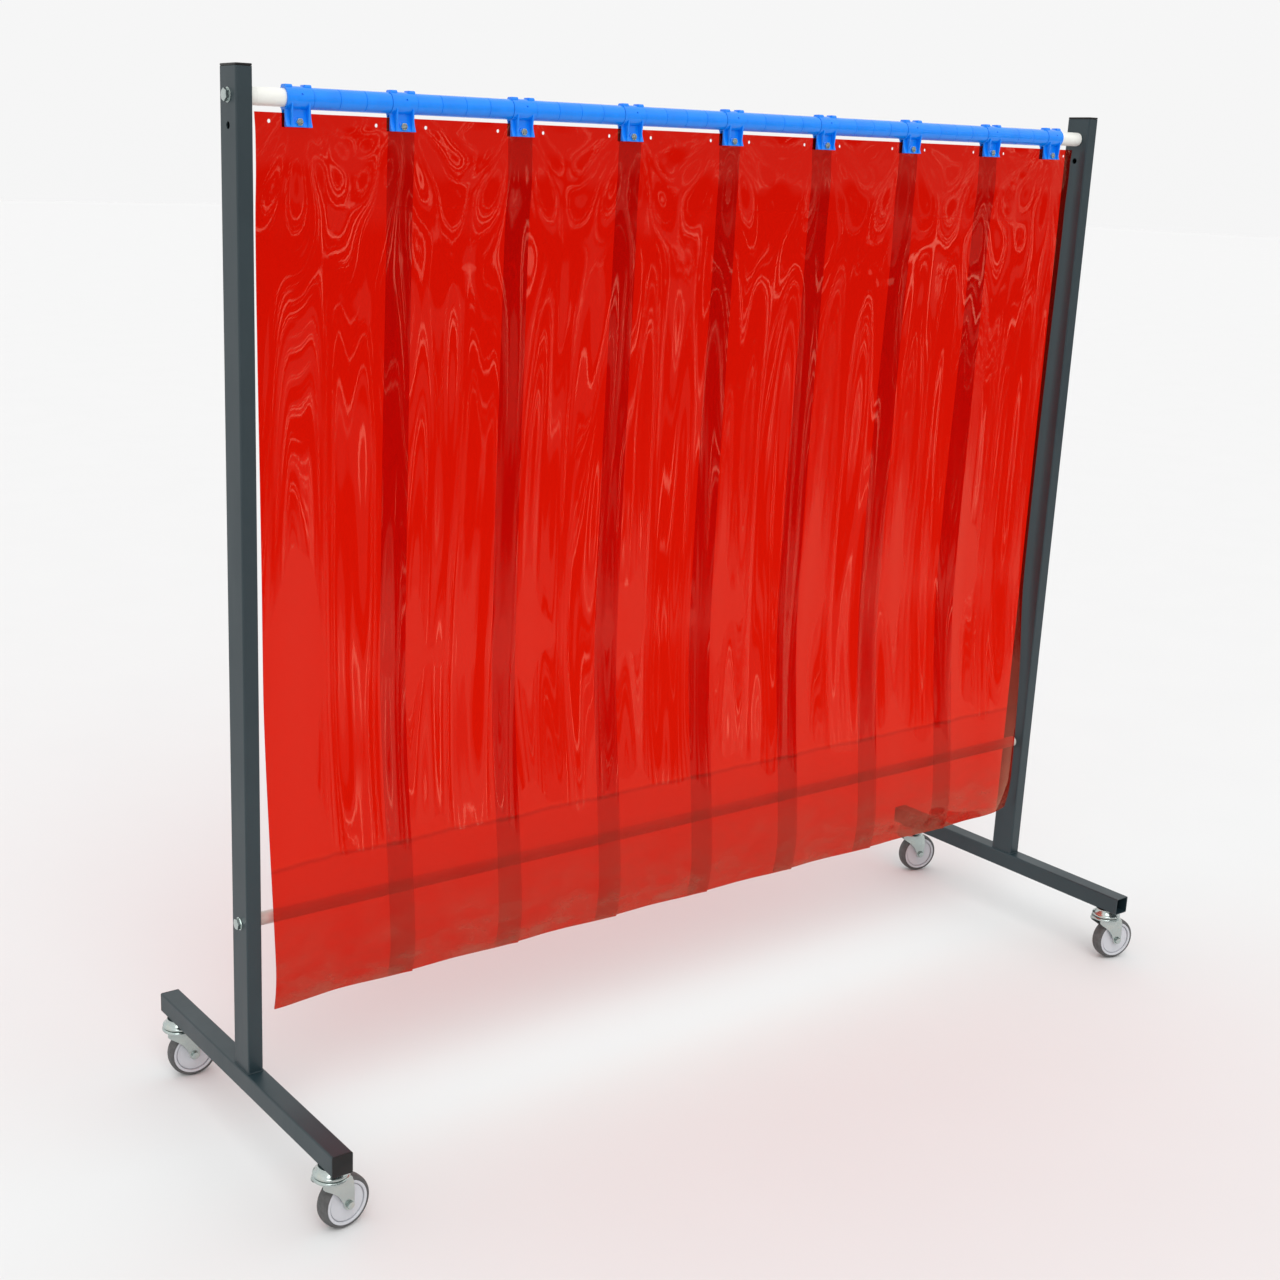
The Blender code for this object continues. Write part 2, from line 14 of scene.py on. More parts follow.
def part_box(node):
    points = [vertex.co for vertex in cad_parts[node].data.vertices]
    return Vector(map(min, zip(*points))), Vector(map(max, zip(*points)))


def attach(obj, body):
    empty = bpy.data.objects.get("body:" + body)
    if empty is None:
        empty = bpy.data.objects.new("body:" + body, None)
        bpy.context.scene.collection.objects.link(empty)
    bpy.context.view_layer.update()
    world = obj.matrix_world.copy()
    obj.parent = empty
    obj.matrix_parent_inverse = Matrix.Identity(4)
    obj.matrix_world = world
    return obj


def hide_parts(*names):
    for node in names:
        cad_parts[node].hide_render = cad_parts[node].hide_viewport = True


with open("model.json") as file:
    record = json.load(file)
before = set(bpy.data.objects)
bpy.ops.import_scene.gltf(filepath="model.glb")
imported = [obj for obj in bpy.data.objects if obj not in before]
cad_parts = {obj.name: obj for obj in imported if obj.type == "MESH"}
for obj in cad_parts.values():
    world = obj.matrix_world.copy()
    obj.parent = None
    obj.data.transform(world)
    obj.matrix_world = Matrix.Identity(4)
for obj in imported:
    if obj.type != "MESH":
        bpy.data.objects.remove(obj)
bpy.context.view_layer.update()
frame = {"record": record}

# ---- what the frame says ----
CASTER_NAMES = ("front_left", "rear_left", "front_right", "rear_right")
HOOK_COUNT = 9
SLEEVE_COUNT = 8
STRIP_COUNT = 8


def middle(node):
    low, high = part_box(node)
    return (low + high) / 2


def half_size(node):
    low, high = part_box(node)
    return (high - low) / 2


RAIL = middle("hook_rail")
TIE = middle("tie_bar")

# ---- driving dimensions ----
CURTAIN_LEAN = math.radians(-0.62)
STRIP_WIDTH = 0.300
STRIP_LENGTH = 1.592
STRIP_THICKNESS = 0.002
STRIP_PITCH = 0.250
LAYER_STEP = 0.0026  # from one overlapped strip to the next, front to back
STRIP_COLUMNS = 72
STRIP_ROWS = 150
HOLE_RADIUS = 0.0032
HOLE_DROP = 0.0140  # the punched holes' centres below a strip's top edge
HOLE_INSETS = (0.025, 0.075)  # and in from its two edges
PUNCH_REACH = 0.02

BORE_RADIUS = 0.0153  # of the hooks and sleeves, round the rail
SLEEVE_RADIUS = 0.01775
COLLAR_RADIUS = 0.0190
COLLAR_HALF = 0.0247  # half a hook's length along the rail
BAR_BORE = 0.0064  # inside the rail's and the tie bar's ends
EDGE_ROUND = 0.0008
TOUCH = 0.0001  # pieces that meet overlap or stand off by this much

ROUND = 64  # sides of a turned piece
SMALL_ROUND = 32  # of a shank or a drilled hole
TINY_ROUND = 24
WHEEL_ROUND = 112

# ---- material nodes ----
def set_stops(ramp, stops):
    while len(ramp.elements) < len(stops):
        ramp.elements.new(0.5)
    for element, (position, colour) in zip(ramp.elements, stops):
        element.position = position
        element.color = (*colour, 1.0)


class Shading:
    """One material's node tree, with short calls for the nodes that the materials share."""

    def __init__(self, name):
        self.material = bpy.data.materials.new(name)
        self.material.use_nodes = True
        self.nodes = self.material.node_tree.nodes
        self.links = self.material.node_tree.links
        self.shader = self.nodes["Principled BSDF"]
        self.output = self.nodes["Material Output"]
        self.place = self.add("ShaderNodeTexCoord").outputs["Object"]

    def add(self, kind, **values):
        node = self.nodes.new(kind)
        for key, value in values.items():
            setattr(node, key, value)
        return node

    def join(self, source, target):
        self.links.new(source, target)

    def height(self):
        split = self.add("ShaderNodeSeparateXYZ")
        self.join(self.place, split.inputs["Vector"])
        return split.outputs["Z"]

    def noise(self, scale, detail=3.0, rough=0.5, upright=None, distortion=0.0):
        """Cloudy noise. upright scales it along Z: near 0 draws it out into upright streaks."""
        node = self.add("ShaderNodeTexNoise")
        node.inputs["Scale"].default_value = scale
        node.inputs["Detail"].default_value = detail
        node.inputs["Roughness"].default_value = rough
        node.inputs["Distortion"].default_value = distortion
        place = self.place
        if upright is not None:
            mapping = self.add("ShaderNodeMapping")
            mapping.inputs["Scale"].default_value = (1.0, 1.0, upright)
            self.join(place, mapping.inputs["Vector"])
            place = mapping.outputs["Vector"]
        self.join(place, node.inputs["Vector"])
        return node.outputs["Fac"]

    def ramp(self, source, stops):
        node = self.add("ShaderNodeValToRGB")
        set_stops(node.color_ramp, stops)
        self.join(source, node.inputs["Fac"])
        return node.outputs["Color"]

    def rescale(self, source, low, high, new_low, new_high):
        node = self.add("ShaderNodeMapRange")
        for key, value in zip(("From Min", "From Max", "To Min", "To Max"), (low, high, new_low, new_high)):
            node.inputs[key].default_value = value
        self.join(source, node.inputs["Value"])
        return node.outputs["Result"]

    def maths(self, operation, first, second):
        node = self.add("ShaderNodeMath", operation=operation)
        for socket, value in zip(node.inputs, (first, second)):
            if isinstance(value, float):
                socket.default_value = value
            else:
                self.join(value, socket)
        return node.outputs["Value"]

    def bump(self, source, strength, distance, before=None):
        node = self.add("ShaderNodeBump")
        node.inputs["Strength"].default_value = strength
        node.inputs["Distance"].default_value = distance
        self.join(source, node.inputs["Height"])
        if before is not None:
            self.join(before, node.inputs["Normal"])
        return node.outputs["Normal"]

    def set(self, **values):
        for key, value in values.items():
            self.shader.inputs[key.replace("_", " ")].default_value = value

    def drive(self, socket, source):
        self.join(source, self.shader.inputs[socket])


def grey(value):
    return (value, value, value)


def powder_coat(name, light, dark, roughness, peel):
    """Sprayed powder coat: a fine orange peel, faint mottling and a few rubbed, duller patches."""
    s = Shading(name)
    s.drive("Base Color", s.ramp(s.noise(9.0, 6.0, 0.6), [(0.3, dark), (0.7, light)]))
    rubbed = s.noise(5.0, 8.0, 0.65, 0.25)
    s.drive("Roughness", s.rescale(rubbed, 0.35, 0.7, roughness, roughness + 0.14))
    s.drive("Normal", s.bump(s.noise(260.0, 2.0), peel, 0.0003))
    s.set(Specular_IOR_Level=0.6)
    return s.material


def moulded_plastic(name, light, dark, roughness, sheen):
    """Moulded plastic: faint flow marks in the colour and soft sink marks under a smooth skin."""
    s = Shading(name)
    s.drive("Base Color", s.ramp(s.noise(35.0, 4.0), [(0.3, dark), (0.7, light)]))
    s.drive("Roughness", s.rescale(s.noise(60.0, 2.0), 0.3, 0.7, roughness, roughness + 0.06))
    s.drive("Normal", s.bump(s.noise(30.0, 1.0), 0.04, 0.0008))
    s.set(Specular_IOR_Level=sheen)
    return s.material


def zinc_plate(name):
    """Bright zinc plating: bluish and straw-coloured clouds, fine brushing and dull handling marks."""
    s = Shading(name)
    cloud = s.noise(26.0, 3.0, 0.5, distortion=0.4)
    tones = [(0.3, (0.40, 0.46, 0.45)), (0.55, (0.50, 0.56, 0.54)), (0.75, (0.55, 0.57, 0.51))]
    s.drive("Base Color", s.ramp(cloud, tones))
    s.drive("Roughness", s.rescale(s.noise(120.0, 5.0, 0.6), 0.3, 0.75, 0.16, 0.30))
    s.drive("Normal", s.bump(s.noise(700.0, 2.0, 0.6, 0.15), 0.05, 0.0002))
    s.set(Metallic=1.0)
    return s.material


def rubber(name):
    s = Shading(name)
    s.drive("Base Color", s.ramp(s.noise(80.0, 6.0, 0.65), [(0.3, grey(0.060)), (0.7, grey(0.105))]))
    s.drive("Roughness", s.rescale(s.noise(220.0, 4.0), 0.3, 0.7, 0.55, 0.75))
    s.drive("Normal", s.bump(s.noise(900.0, 3.0), 0.25, 0.0003))
    return s.material


# ---- the red film ----
HEM_HEIGHT = 0.285  # above the floor
DUST_TOP = 0.60  # the film is dusty from its hem up to here
FADE_TOP = DUST_TOP + 0.60  # and faintly clouded up to here
TINT_TOP = 1.90  # where the tint is deepest
# Where a fold across the film is drawn as a painted shade line under a painted highlight line, and the half
# width of these lines.
PAINTED_CREASE_AT = (0.572 - HEM_HEIGHT) / (TINT_TOP - HEM_HEIGHT)  # as a share of the tinted height
PAINTED_CREASE_HALF = 0.0016
CREASE_WAVER = 0.010

FILM_IOR = 1.38
FILM_GLOSS = (1.0, 0.74, 0.50, 1.0)  # the film's own colour warms what it mirrors
FILM_ROUGHNESS = 0.02
INNER_GLOSS = 0.02  # the share mirrored where a ray leaves the film
DUST_COVER = 0.40
FADE_COVER = 0.04
FILM_COVER = 0.05  # the cloudy share of a clean face
EDGE_COVER = 0.45  # and of a cut edge, which is seen along the film's depth

# What comes through, from the hem at 0 to TINT_TOP at 1. At the crease it is a dark line of painted shade
# with a pale line of painted highlight over it.
FILM_TINTS = [
    (0.0, (0.80, 0.066, 0.036)), (PAINTED_CREASE_AT * 0.6, (0.845, 0.070, 0.028)),
    (PAINTED_CREASE_AT - PAINTED_CREASE_HALF * 2, (0.865, 0.080, 0.030)), (PAINTED_CREASE_AT - PAINTED_CREASE_HALF, (0.74, 0.050, 0.020)),
    (PAINTED_CREASE_AT, (0.74, 0.050, 0.020)), (PAINTED_CREASE_AT + PAINTED_CREASE_HALF, (0.905, 0.110, 0.050)),
    (PAINTED_CREASE_AT + PAINTED_CREASE_HALF * 4, (0.890, 0.086, 0.030)), (0.62, (0.860, 0.070, 0.018)),
    (1.0, (0.815, 0.060, 0.014)),
]
EDGE_TINTS = [(0.0, (0.60, 0.03, 0.02)), (1.0, (0.56, 0.02, 0.01))]


def film_ripple(s):
    """The normal of a film with slight upright ripples from the roll that it came on."""
    streaks = s.noise(34.0, 2.0, 0.5, 0.006)
    swells = s.noise(16.0, 1.0, 0.4, 0.03)
    return s.bump(streaks, 0.035, 0.0012, s.bump(swells, 0.05, 0.004))


def film_dust(s, height):
    """How dusty the film is: most at the hem, and in patches."""
    patches = s.noise(11.0, 6.0, 0.62, 2.2)
    hem = s.rescale(height, HEM_HEIGHT, DUST_TOP, 1.0, 0.0)
    return s.maths("MULTIPLY", s.maths("POWER", hem, 1.6), s.rescale(patches, 0.34, 0.66, 0.25, 1.0))


def film_body(s, height, dust, cover, tints):
    """Clear tinted film, with a share of a cloudy red body mixed in."""
    fade = s.rescale(height, FADE_TOP, DUST_TOP, 0.0, FADE_COVER)
    haze = s.maths("ADD", s.maths("MULTIPLY", dust, DUST_COVER), fade)
    waver = s.maths("MULTIPLY", s.noise(24.0, 5.0, 0.7, 0.0), CREASE_WAVER)
    level = s.rescale(s.maths("ADD", height, waver), HEM_HEIGHT, TINT_TOP, 0.0, 1.0)
    clear = s.add("ShaderNodeBsdfTransparent")
    s.join(s.ramp(level, tints), clear.inputs["Color"])
    body = s.add("ShaderNodeMixShader")
    s.join(s.maths("ADD", haze, cover), body.inputs["Fac"])
    s.join(clear.outputs["BSDF"], body.inputs[1])
    s.join(s.shader.outputs["BSDF"], body.inputs[2])
    return body.outputs["Shader"]


def film_mirror_share(s, ripple):
    """How much the film mirrors: by its angle on its outer faces, and a set share inside."""
    fresnel = s.add("ShaderNodeFresnel")
    fresnel.inputs["IOR"].default_value = FILM_IOR
    s.join(ripple, fresnel.inputs["Normal"])
    inside = s.add("ShaderNodeNewGeometry").outputs["Backfacing"]
    outer = s.maths("MULTIPLY", fresnel.outputs["Fac"], s.maths("SUBTRACT", 1.0, inside))
    return s.maths("ADD", outer, s.maths("MULTIPLY", inside, INNER_GLOSS))


def red_film(name, deep, dusty, tints, cover):
    """Clear red flexible film: most light passes through it tinted, a little meets a cloudy red body, and its
    outer faces mirror by their angle. The tint pales and dust clouds the film toward the hem."""
    s = Shading(name)
    height = s.height()
    dust = film_dust(s, height)
    s.drive("Base Color", s.ramp(dust, [(0.0, deep), (1.0, dusty)]))
    s.set(Roughness=0.5, Specular_IOR_Level=0.0)
    ripple = film_ripple(s)
    gloss = s.add("ShaderNodeBsdfAnisotropic")
    gloss.inputs["Color"].default_value = FILM_GLOSS
    gloss.inputs["Roughness"].default_value = FILM_ROUGHNESS
    s.join(ripple, gloss.inputs["Normal"])
    whole = s.add("ShaderNodeMixShader")
    s.join(film_mirror_share(s, ripple), whole.inputs["Fac"])
    s.join(film_body(s, height, dust, cover, tints), whole.inputs[1])
    s.join(gloss.outputs["BSDF"], whole.inputs[2])
    s.join(whole.outputs["Shader"], s.output.inputs["Surface"])
    return s.material


# Each material's function and what it is told: colours first, then roughness and peel or sheen.
LOOKS = {
    "dark_powder_coat": (powder_coat, (0.013, 0.030, 0.037), (0.009, 0.024, 0.031), 0.40, 0.10),
    "cream_powder_coat": (powder_coat, (0.84, 0.84, 0.79), (0.79, 0.79, 0.74), 0.24, 0.05),
    # The tie bar's coat: the same cream as the rail, darkened as painted shade.
    "shaded_cream_coat": (powder_coat, (0.62, 0.61, 0.56), (0.56, 0.55, 0.50), 0.30, 0.05),
    "black_plastic": (moulded_plastic, grey(0.012), grey(0.008), 0.38, 0.30),
    "blue_plastic": (moulded_plastic, (0.000, 0.235, 0.90), (0.000, 0.205, 0.82), 0.20, 0.50),
    "pale_wheel_plastic": (moulded_plastic, (0.55, 0.56, 0.59), (0.51, 0.52, 0.55), 0.28, 0.50),
    "zinc_plate": (zinc_plate,),
    "grey_rubber": (rubber,),
    "red_strip": (red_film, (0.70, 0.020, 0.005), (0.40, 0.130, 0.085), FILM_TINTS, FILM_COVER),
    "red_strip_edge": (red_film, (0.45, 0.02, 0.01), (0.50, 0.18, 0.14), EDGE_TINTS, EDGE_COVER),
}


def make_materials():
    return {name: look(f"{name}_look", *values) for name, (look, *values) in LOOKS.items()}


# ---- mesh helpers ----
def add_object(name, data):
    item = bpy.data.objects.new(name, data)
    bpy.context.scene.collection.objects.link(item)
    return item


def turned_outward(shape, mesh):
    """The mesh, filled from a work shape with its faces turned outward."""
    bmesh.ops.recalc_face_normals(shape, faces=shape.faces)
    shape.to_mesh(mesh)
    shape.free()
    return mesh


def mesh_from(name, vertices, faces):
    shape = bmesh.new()
    points = [shape.verts.new(point) for point in vertices]
    for face in faces:
        shape.faces.new([points[index] for index in face])
    return turned_outward(shape, bpy.data.meshes.new(name))


def reorder(mesh, axes):
    """The mesh with its axes swapped: axes names the source axis of the new X, Y and Z."""
    for vertex in mesh.vertices:
        vertex.co = Vector([vertex.co[axis] for axis in axes])
    shape = bmesh.new()
    shape.from_mesh(mesh)
    return turned_outward(shape, mesh)


# The source axes of the new X, Y and Z, for a shape whose length is to lie along the named axis.
ALONG_Z = (0, 1, 2)
ALONG_X = (2, 0, 1)
ALONG_Y = (0, 2, 1)


def lathe(profile, axes=ALONG_Z, facets=ROUND):
    """A body turned from (radius, height) points. One that never meets the axis is a ring with a bore."""
    vertices = []
    rings = []
    for radius, height in profile:
        if radius == 0.0:
            rings.append([len(vertices)] * facets)
            vertices.append((0.0, 0.0, height))
            continue
        rings.append(list(range(len(vertices), len(vertices) + facets)))
        for step in range(facets):
            angle = 2 * math.pi * step / facets
            vertices.append((radius * math.cos(angle), radius * math.sin(angle), height))
    pairs = list(zip(rings, rings[1:]))
    if profile[0][0] > 0.0:
        pairs.append((rings[-1], rings[0]))
    faces = []
    for low, high in pairs:
        for step in range(facets):
            after = (step + 1) % facets
            faces.append(list(dict.fromkeys([low[step], low[after], high[after], high[step]])))
    return reorder(mesh_from("turned", vertices, faces), axes)


def rod(radius, start, end, axes=ALONG_Z, facets=ROUND):
    """A plain round bar about an axis, from start to end along it."""
    return lathe([(0.0, start), (radius, start), (radius, end), (0.0, end)], axes, facets)


def prism(outline, start, end, axes=ALONG_Z):
    """A straight bar with the given outline, from start to end along an axis."""
    count = len(outline)
    vertices = [(x, y, start) for x, y in outline] + [(x, y, end) for x, y in outline]
    faces = [list(range(count)), list(range(count, 2 * count))]
    for index in range(count):
        after = (index + 1) % count
        faces.append([index, after, after + count, index + count])
    return reorder(mesh_from("prism", vertices, faces), axes)


def shifted(mesh, offset):
    mesh.transform(Matrix.Translation(offset))
    return mesh


def applied(body, tools=()):
    """The mesh that a work object's modifiers make. The work objects are removed."""
    result = bpy.data.meshes.new_from_object(body.evaluated_get(bpy.context.evaluated_depsgraph_get()))
    for item in [body, *tools]:
        bpy.data.objects.remove(item, do_unlink=True)
    return result


def combined(mesh, others, operation="UNION"):
    """The mesh with the others joined to it or cut from it."""
    body = add_object("body", mesh)
    tools = [add_object("tool", other) for other in others]
    for tool in tools:
        step = body.modifiers.new("combine", "BOOLEAN")
        step.solver = "EXACT"
        step.operation = operation
        step.object = tool
    return applied(body, tools)


def bevelled(mesh, width, segments=2, angle=30.0):
    """The mesh with its sharp edges rounded over."""
    body = add_object("body", mesh)
    step = body.modifiers.new("round", "BEVEL")
    step.width = width
    step.segments = segments
    step.limit_method = "ANGLE"
    step.angle_limit = math.radians(angle)
    return applied(body)


def piece(name, mesh, materials, body, nodes=(), place=None, sharp=40.0):
    """A named piece that rides on a CAD body and stands for the named CAD nodes."""
    mesh = mesh.copy()
    mesh.name = name
    mesh.materials.clear()
    for material in materials:
        mesh.materials.append(MATERIALS[material])
    mesh.shade_smooth()
    mesh.set_sharp_from_angle(angle=math.radians(sharp))
    item = add_object(name, mesh)
    item.matrix_world = place or Matrix.Identity(4)
    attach(item, body)
    if nodes:
        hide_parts(*nodes)
    return item


# ---- the hanging strips ----
CURTAIN_HALF = (STRIP_PITCH * STRIP_COUNT + STRIP_WIDTH - STRIP_PITCH) / 2
HOOK_PLACES = [middle(f"hook_{index}").x - RAIL.x for index in range(1, HOOK_COUNT + 1)]

# Drops are measured down from the strips' top edge, and depths forward from the rail's plane.
BELLY_BACK = 0.0085  # the curtain sways back between the hooks and the tie bar
BELLY_DROPS = (0.05, 1.62)
BROW_OUT = 0.0020  # it stands out a little just under the hooks
BROW_DROPS = (0.0, 0.16)
SWING_OUT = 0.0450  # and comes forward over the tie bar
SWING_DROPS = (0.98, 1.62)
CURL_BACK = 0.0130  # its lowest hem curls back again
CURL_START = 1.500
PANEL_HOLLOW = 0.0080  # each strip's middle lies further back than its edges
HOLLOW_DROPS = (0.12, 0.60)
HOLLOW_EASE = 0.45  # the share of the hollow that is gone lower down
HOLLOW_EASE_DROPS = (0.80, 1.30)
LEFT_FLARE = 0.0210  # the left edge turns forward
LEFT_WIDTH = 0.16
LEFT_DROPS = (0.15, 0.85)
LEFT_EASE = 0.35
LEFT_EASE_DROPS = (1.05, 1.45)
RIGHT_TUCK = 0.0260  # the right edge turns back low down
RIGHT_WIDTH = 0.12
RIGHT_DROPS = (1.15, 1.58)
EDGE_LIFT = 0.0022  # a strip's two edges lift away from its neighbours
EDGE_LIFT_WIDTH = 0.030
EDGE_LIFT_DROPS = (0.2, 0.8)

FOLD_HEIGHT = 0.0030  # the folds that fan out from each hook
FOLD_FADE = 0.20  # the distance in which they fall to a third
FOLD_RISE = (0.01, 0.14)  # the distances between which they set in
FOLD_RATES = ((5.2, 1.0, 0.9), (11.0, 0.5, 2.3))  # waves per radian, share, shift from hook to hook
RIPPLES = ((31.0, 0.00075, 0.7), (53.0, 0.00045, 1.9), (97.0, 0.00022, 3.1))  # rate, height, phase
RIPPLE_DROPS = (0.10, 0.50)
RIPPLE_EASE = 0.6
RIPPLE_EASE_DROPS = (1.15, 1.45)


def smooth(value, start, end):
    """A smooth step from 0 at start to 1 at end."""
    t = np.clip((value - start) / (end - start), 0.0, 1.0)
    return t * t * (3.0 - 2.0 * t)


def hump(value, start, end):
    """A smooth hump that is 0 at both ends and 1 halfway."""
    t = np.clip((value - start) / (end - start), 0.0, 1.0)
    return np.sin(np.pi * t) ** 2


def near_edge(distance, width):
    """1 at an edge, falling to 0 at the given width from it."""
    return np.clip(1.0 - distance / width, 0.0, 1.0) ** 2


def radiating_folds(along, drop):
    """Shallow folds that fan out from each hook and fade within half a metre."""
    total = np.zeros_like(along)
    for index, place in enumerate(HOOK_PLACES):
        across = along - place
        reach = np.sqrt(across ** 2 + (drop - HOLE_DROP) ** 2) + 1e-6
        angle = np.arctan2(across, drop + 0.02)
        fan = sum(share * np.sin(rate * angle + shift * index) for rate, share, shift in FOLD_RATES)
        total += fan * FOLD_HEIGHT * smooth(reach, *FOLD_RISE) * np.exp(-reach / FOLD_FADE)
    return total


def long_ripples(along, drop, seed):
    """Slight upright ripples left by rolling and hanging. They drift sideways on their way down."""
    total = np.zeros_like(along)
    for count, (rate, height, phase) in enumerate(RIPPLES):
        drift = 0.9 * np.sin(drop * (2.1 + count) + seed) + 0.5 * np.sin(drop * 5.3 + 2 * seed + count)
        total += height * np.sin(rate * along + phase * seed + drift)
    return total * smooth(drop, *RIPPLE_DROPS) * (1.0 - RIPPLE_EASE * smooth(drop, *RIPPLE_EASE_DROPS))


def curtain_depth(along, drop):
    """How far forward of the rail's plane the curtain hangs, at a place along it and a drop below its top."""
    lap = (STRIP_WIDTH - STRIP_PITCH) / 2
    across = (along + CURTAIN_HALF - lap) / STRIP_PITCH
    hollow = np.sin(np.pi * (across - np.floor(across))) ** 2
    depth = -BELLY_BACK * hump(drop, *BELLY_DROPS)
    depth += BROW_OUT * hump(drop, *BROW_DROPS)
    depth += SWING_OUT * smooth(drop, *SWING_DROPS)
    depth -= CURL_BACK * np.clip((drop - CURL_START) / (STRIP_LENGTH - CURL_START), 0.0, 1.0) ** 2
    eased = 1.0 - HOLLOW_EASE * smooth(drop, *HOLLOW_EASE_DROPS)
    depth -= PANEL_HOLLOW * hollow * smooth(drop, *HOLLOW_DROPS) * eased
    eased = 1.0 - LEFT_EASE * smooth(drop, *LEFT_EASE_DROPS)
    depth += LEFT_FLARE * near_edge(CURTAIN_HALF + along, LEFT_WIDTH) * smooth(drop, *LEFT_DROPS) * eased
    depth -= RIGHT_TUCK * near_edge(CURTAIN_HALF - along, RIGHT_WIDTH) * smooth(drop, *RIGHT_DROPS)
    return depth + radiating_folds(along, drop)


def strip_centre(index):
    return (index - (STRIP_COUNT - 1) / 2) * STRIP_PITCH


def strip_surface(index, across, drop):
    """Points of strip number index on its mid-surface. across runs over its width from its left edge."""
    along = strip_centre(index) + across - STRIP_WIDTH / 2
    depth = curtain_depth(along, drop) + long_ripples(along, drop, 1.0 + 1.7 * index)
    depth += LAYER_STEP / STRIP_PITCH * (across - STRIP_WIDTH / 2)
    low = smooth(drop, *EDGE_LIFT_DROPS)
    depth += EDGE_LIFT * near_edge(STRIP_WIDTH - across, EDGE_LIFT_WIDTH) * low
    depth -= EDGE_LIFT * near_edge(across, EDGE_LIFT_WIDTH) * low
    return along, depth


def strip_grid(index):
    """The mid-surface of a strip as rows of points, from its top edge down."""
    across = np.linspace(0.0, STRIP_WIDTH, STRIP_COLUMNS + 1)
    fall = np.linspace(0.0, STRIP_LENGTH, STRIP_ROWS + 1)
    wide, drop = np.meshgrid(across, fall)
    along, depth = strip_surface(index, wide, drop)
    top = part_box(f"strip_{index + 1}")[1].z
    return np.stack([along + RAIL.x, -depth, top - drop], axis=-1)


def strip_mesh(index):
    """A closed thin sheet: front and back faces off the mid-surface along its normals, and the cut rim."""
    points = strip_grid(index)
    side = np.gradient(points, axis=1)
    down = np.gradient(points, axis=0)
    normal = np.cross(side, down)
    normal /= np.linalg.norm(normal, axis=-1, keepdims=True)
    normal *= np.sign(-normal[..., 1:2])
    front = points + normal * STRIP_THICKNESS / 2
    back = points - normal * STRIP_THICKNESS / 2
    rows, columns = points.shape[:2]
    count = rows * columns
    vertices = np.concatenate([front.reshape(-1, 3), back.reshape(-1, 3)])
    faces = []
    for row in range(rows - 1):
        for column in range(columns - 1):
            corner = row * columns + column
            below = corner + columns
            faces.append((corner, below, below + 1, corner + 1))
            faces.append((count + corner, count + corner + 1, count + below + 1, count + below))
    rim = list(range(columns))
    rim += [row * columns + columns - 1 for row in range(1, rows)]
    rim += [(rows - 1) * columns + column for column in range(columns - 2, -1, -1)]
    rim += [row * columns for row in range(rows - 2, 0, -1)]
    first_rim = len(faces)
    for here, after in zip(rim, rim[1:] + rim[:1]):
        faces.append((here, after, count + after, count + here))
    mesh = bpy.data.meshes.new("strip")
    mesh.from_pydata([tuple(v) for v in vertices], [], faces)
    mesh.update()
    mesh.polygons.foreach_set("material_index", [0] * first_rim + [1] * (len(faces) - first_rim))
    return mesh


def punched(mesh, index):
    """The strip with its holes cut through near its top edge."""
    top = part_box(f"strip_{index + 1}")[1].z
    punches = []
    for side in (-1, 1):
        for inset in HOLE_INSETS:
            x = RAIL.x + strip_centre(index) + side * (STRIP_WIDTH / 2 - inset)
            punch = rod(HOLE_RADIUS, -PUNCH_REACH, PUNCH_REACH, ALONG_Y, TINY_ROUND)
            punches.append(shifted(punch, (x, 0.0, top - HOLE_DROP)))
    return combined(mesh, punches, "DIFFERENCE")


def make_strips():
    for index in range(STRIP_COUNT):
        mesh = punched(strip_mesh(index), index)
        node = f"strip_{index + 1}"
        item = piece(f"film_{node}", mesh, ("red_strip", "red_strip_edge"), "curtain", [node], sharp=50.0)


# ---- rail, tie bar, sleeves and bolts ----
GROOVE_SPACING = 0.050
GROOVE_HALF = 0.0007
GROOVE_DEPTH = 0.0012
SLEEVE_EDGE = EDGE_ROUND / 2

HEX_SIDES = 6
HEX_FLAT = math.cos(math.pi / 6)  # a hexagon's flat radius, as a share of its corner radius
HEAD_TURNED = ((0.97, 0.985), (0.93, 1.0))  # its turned top, as shares of the flat radius and the height
HEAD_CLEAR = 1.2  # what turns it starts outside its corners
HEAD_TURNED_FROM = 0.72  # at this share of the height
HEAD_ROUND = 48

FRAME_BOLT_CORNER = 0.0108
FRAME_BOLT_HEAD = 0.0066
FRAME_BOLT_SHANK = 0.0058
FRAME_BOLT_REACH = 0.036  # how far its shank runs into the post and the bar
FRAME_BOLT_ROOT = 0.001  # its shank ends inside the washer
FRAME_BOLT_TURN = 0.3  # each head has stopped at its own angle
WASHER_RADIUS = 0.0122
WASHER_THICK = 0.0013


def make_bar(name, node, coat):
    """A round tube between the posts, smoother than its CAD node, with a lip inside each end."""
    radius = half_size(node).z
    half = half_size(node).x
    profile = [
        (radius - EDGE_ROUND, -half), (radius, -half + EDGE_ROUND), (radius, half - EDGE_ROUND),
        (radius - EDGE_ROUND, half), (BAR_BORE, half), (BAR_BORE, -half),
    ]
    piece(name, lathe(profile, ALONG_X), [coat], "frame", [node], Matrix.Translation(middle(node)), 25.0)


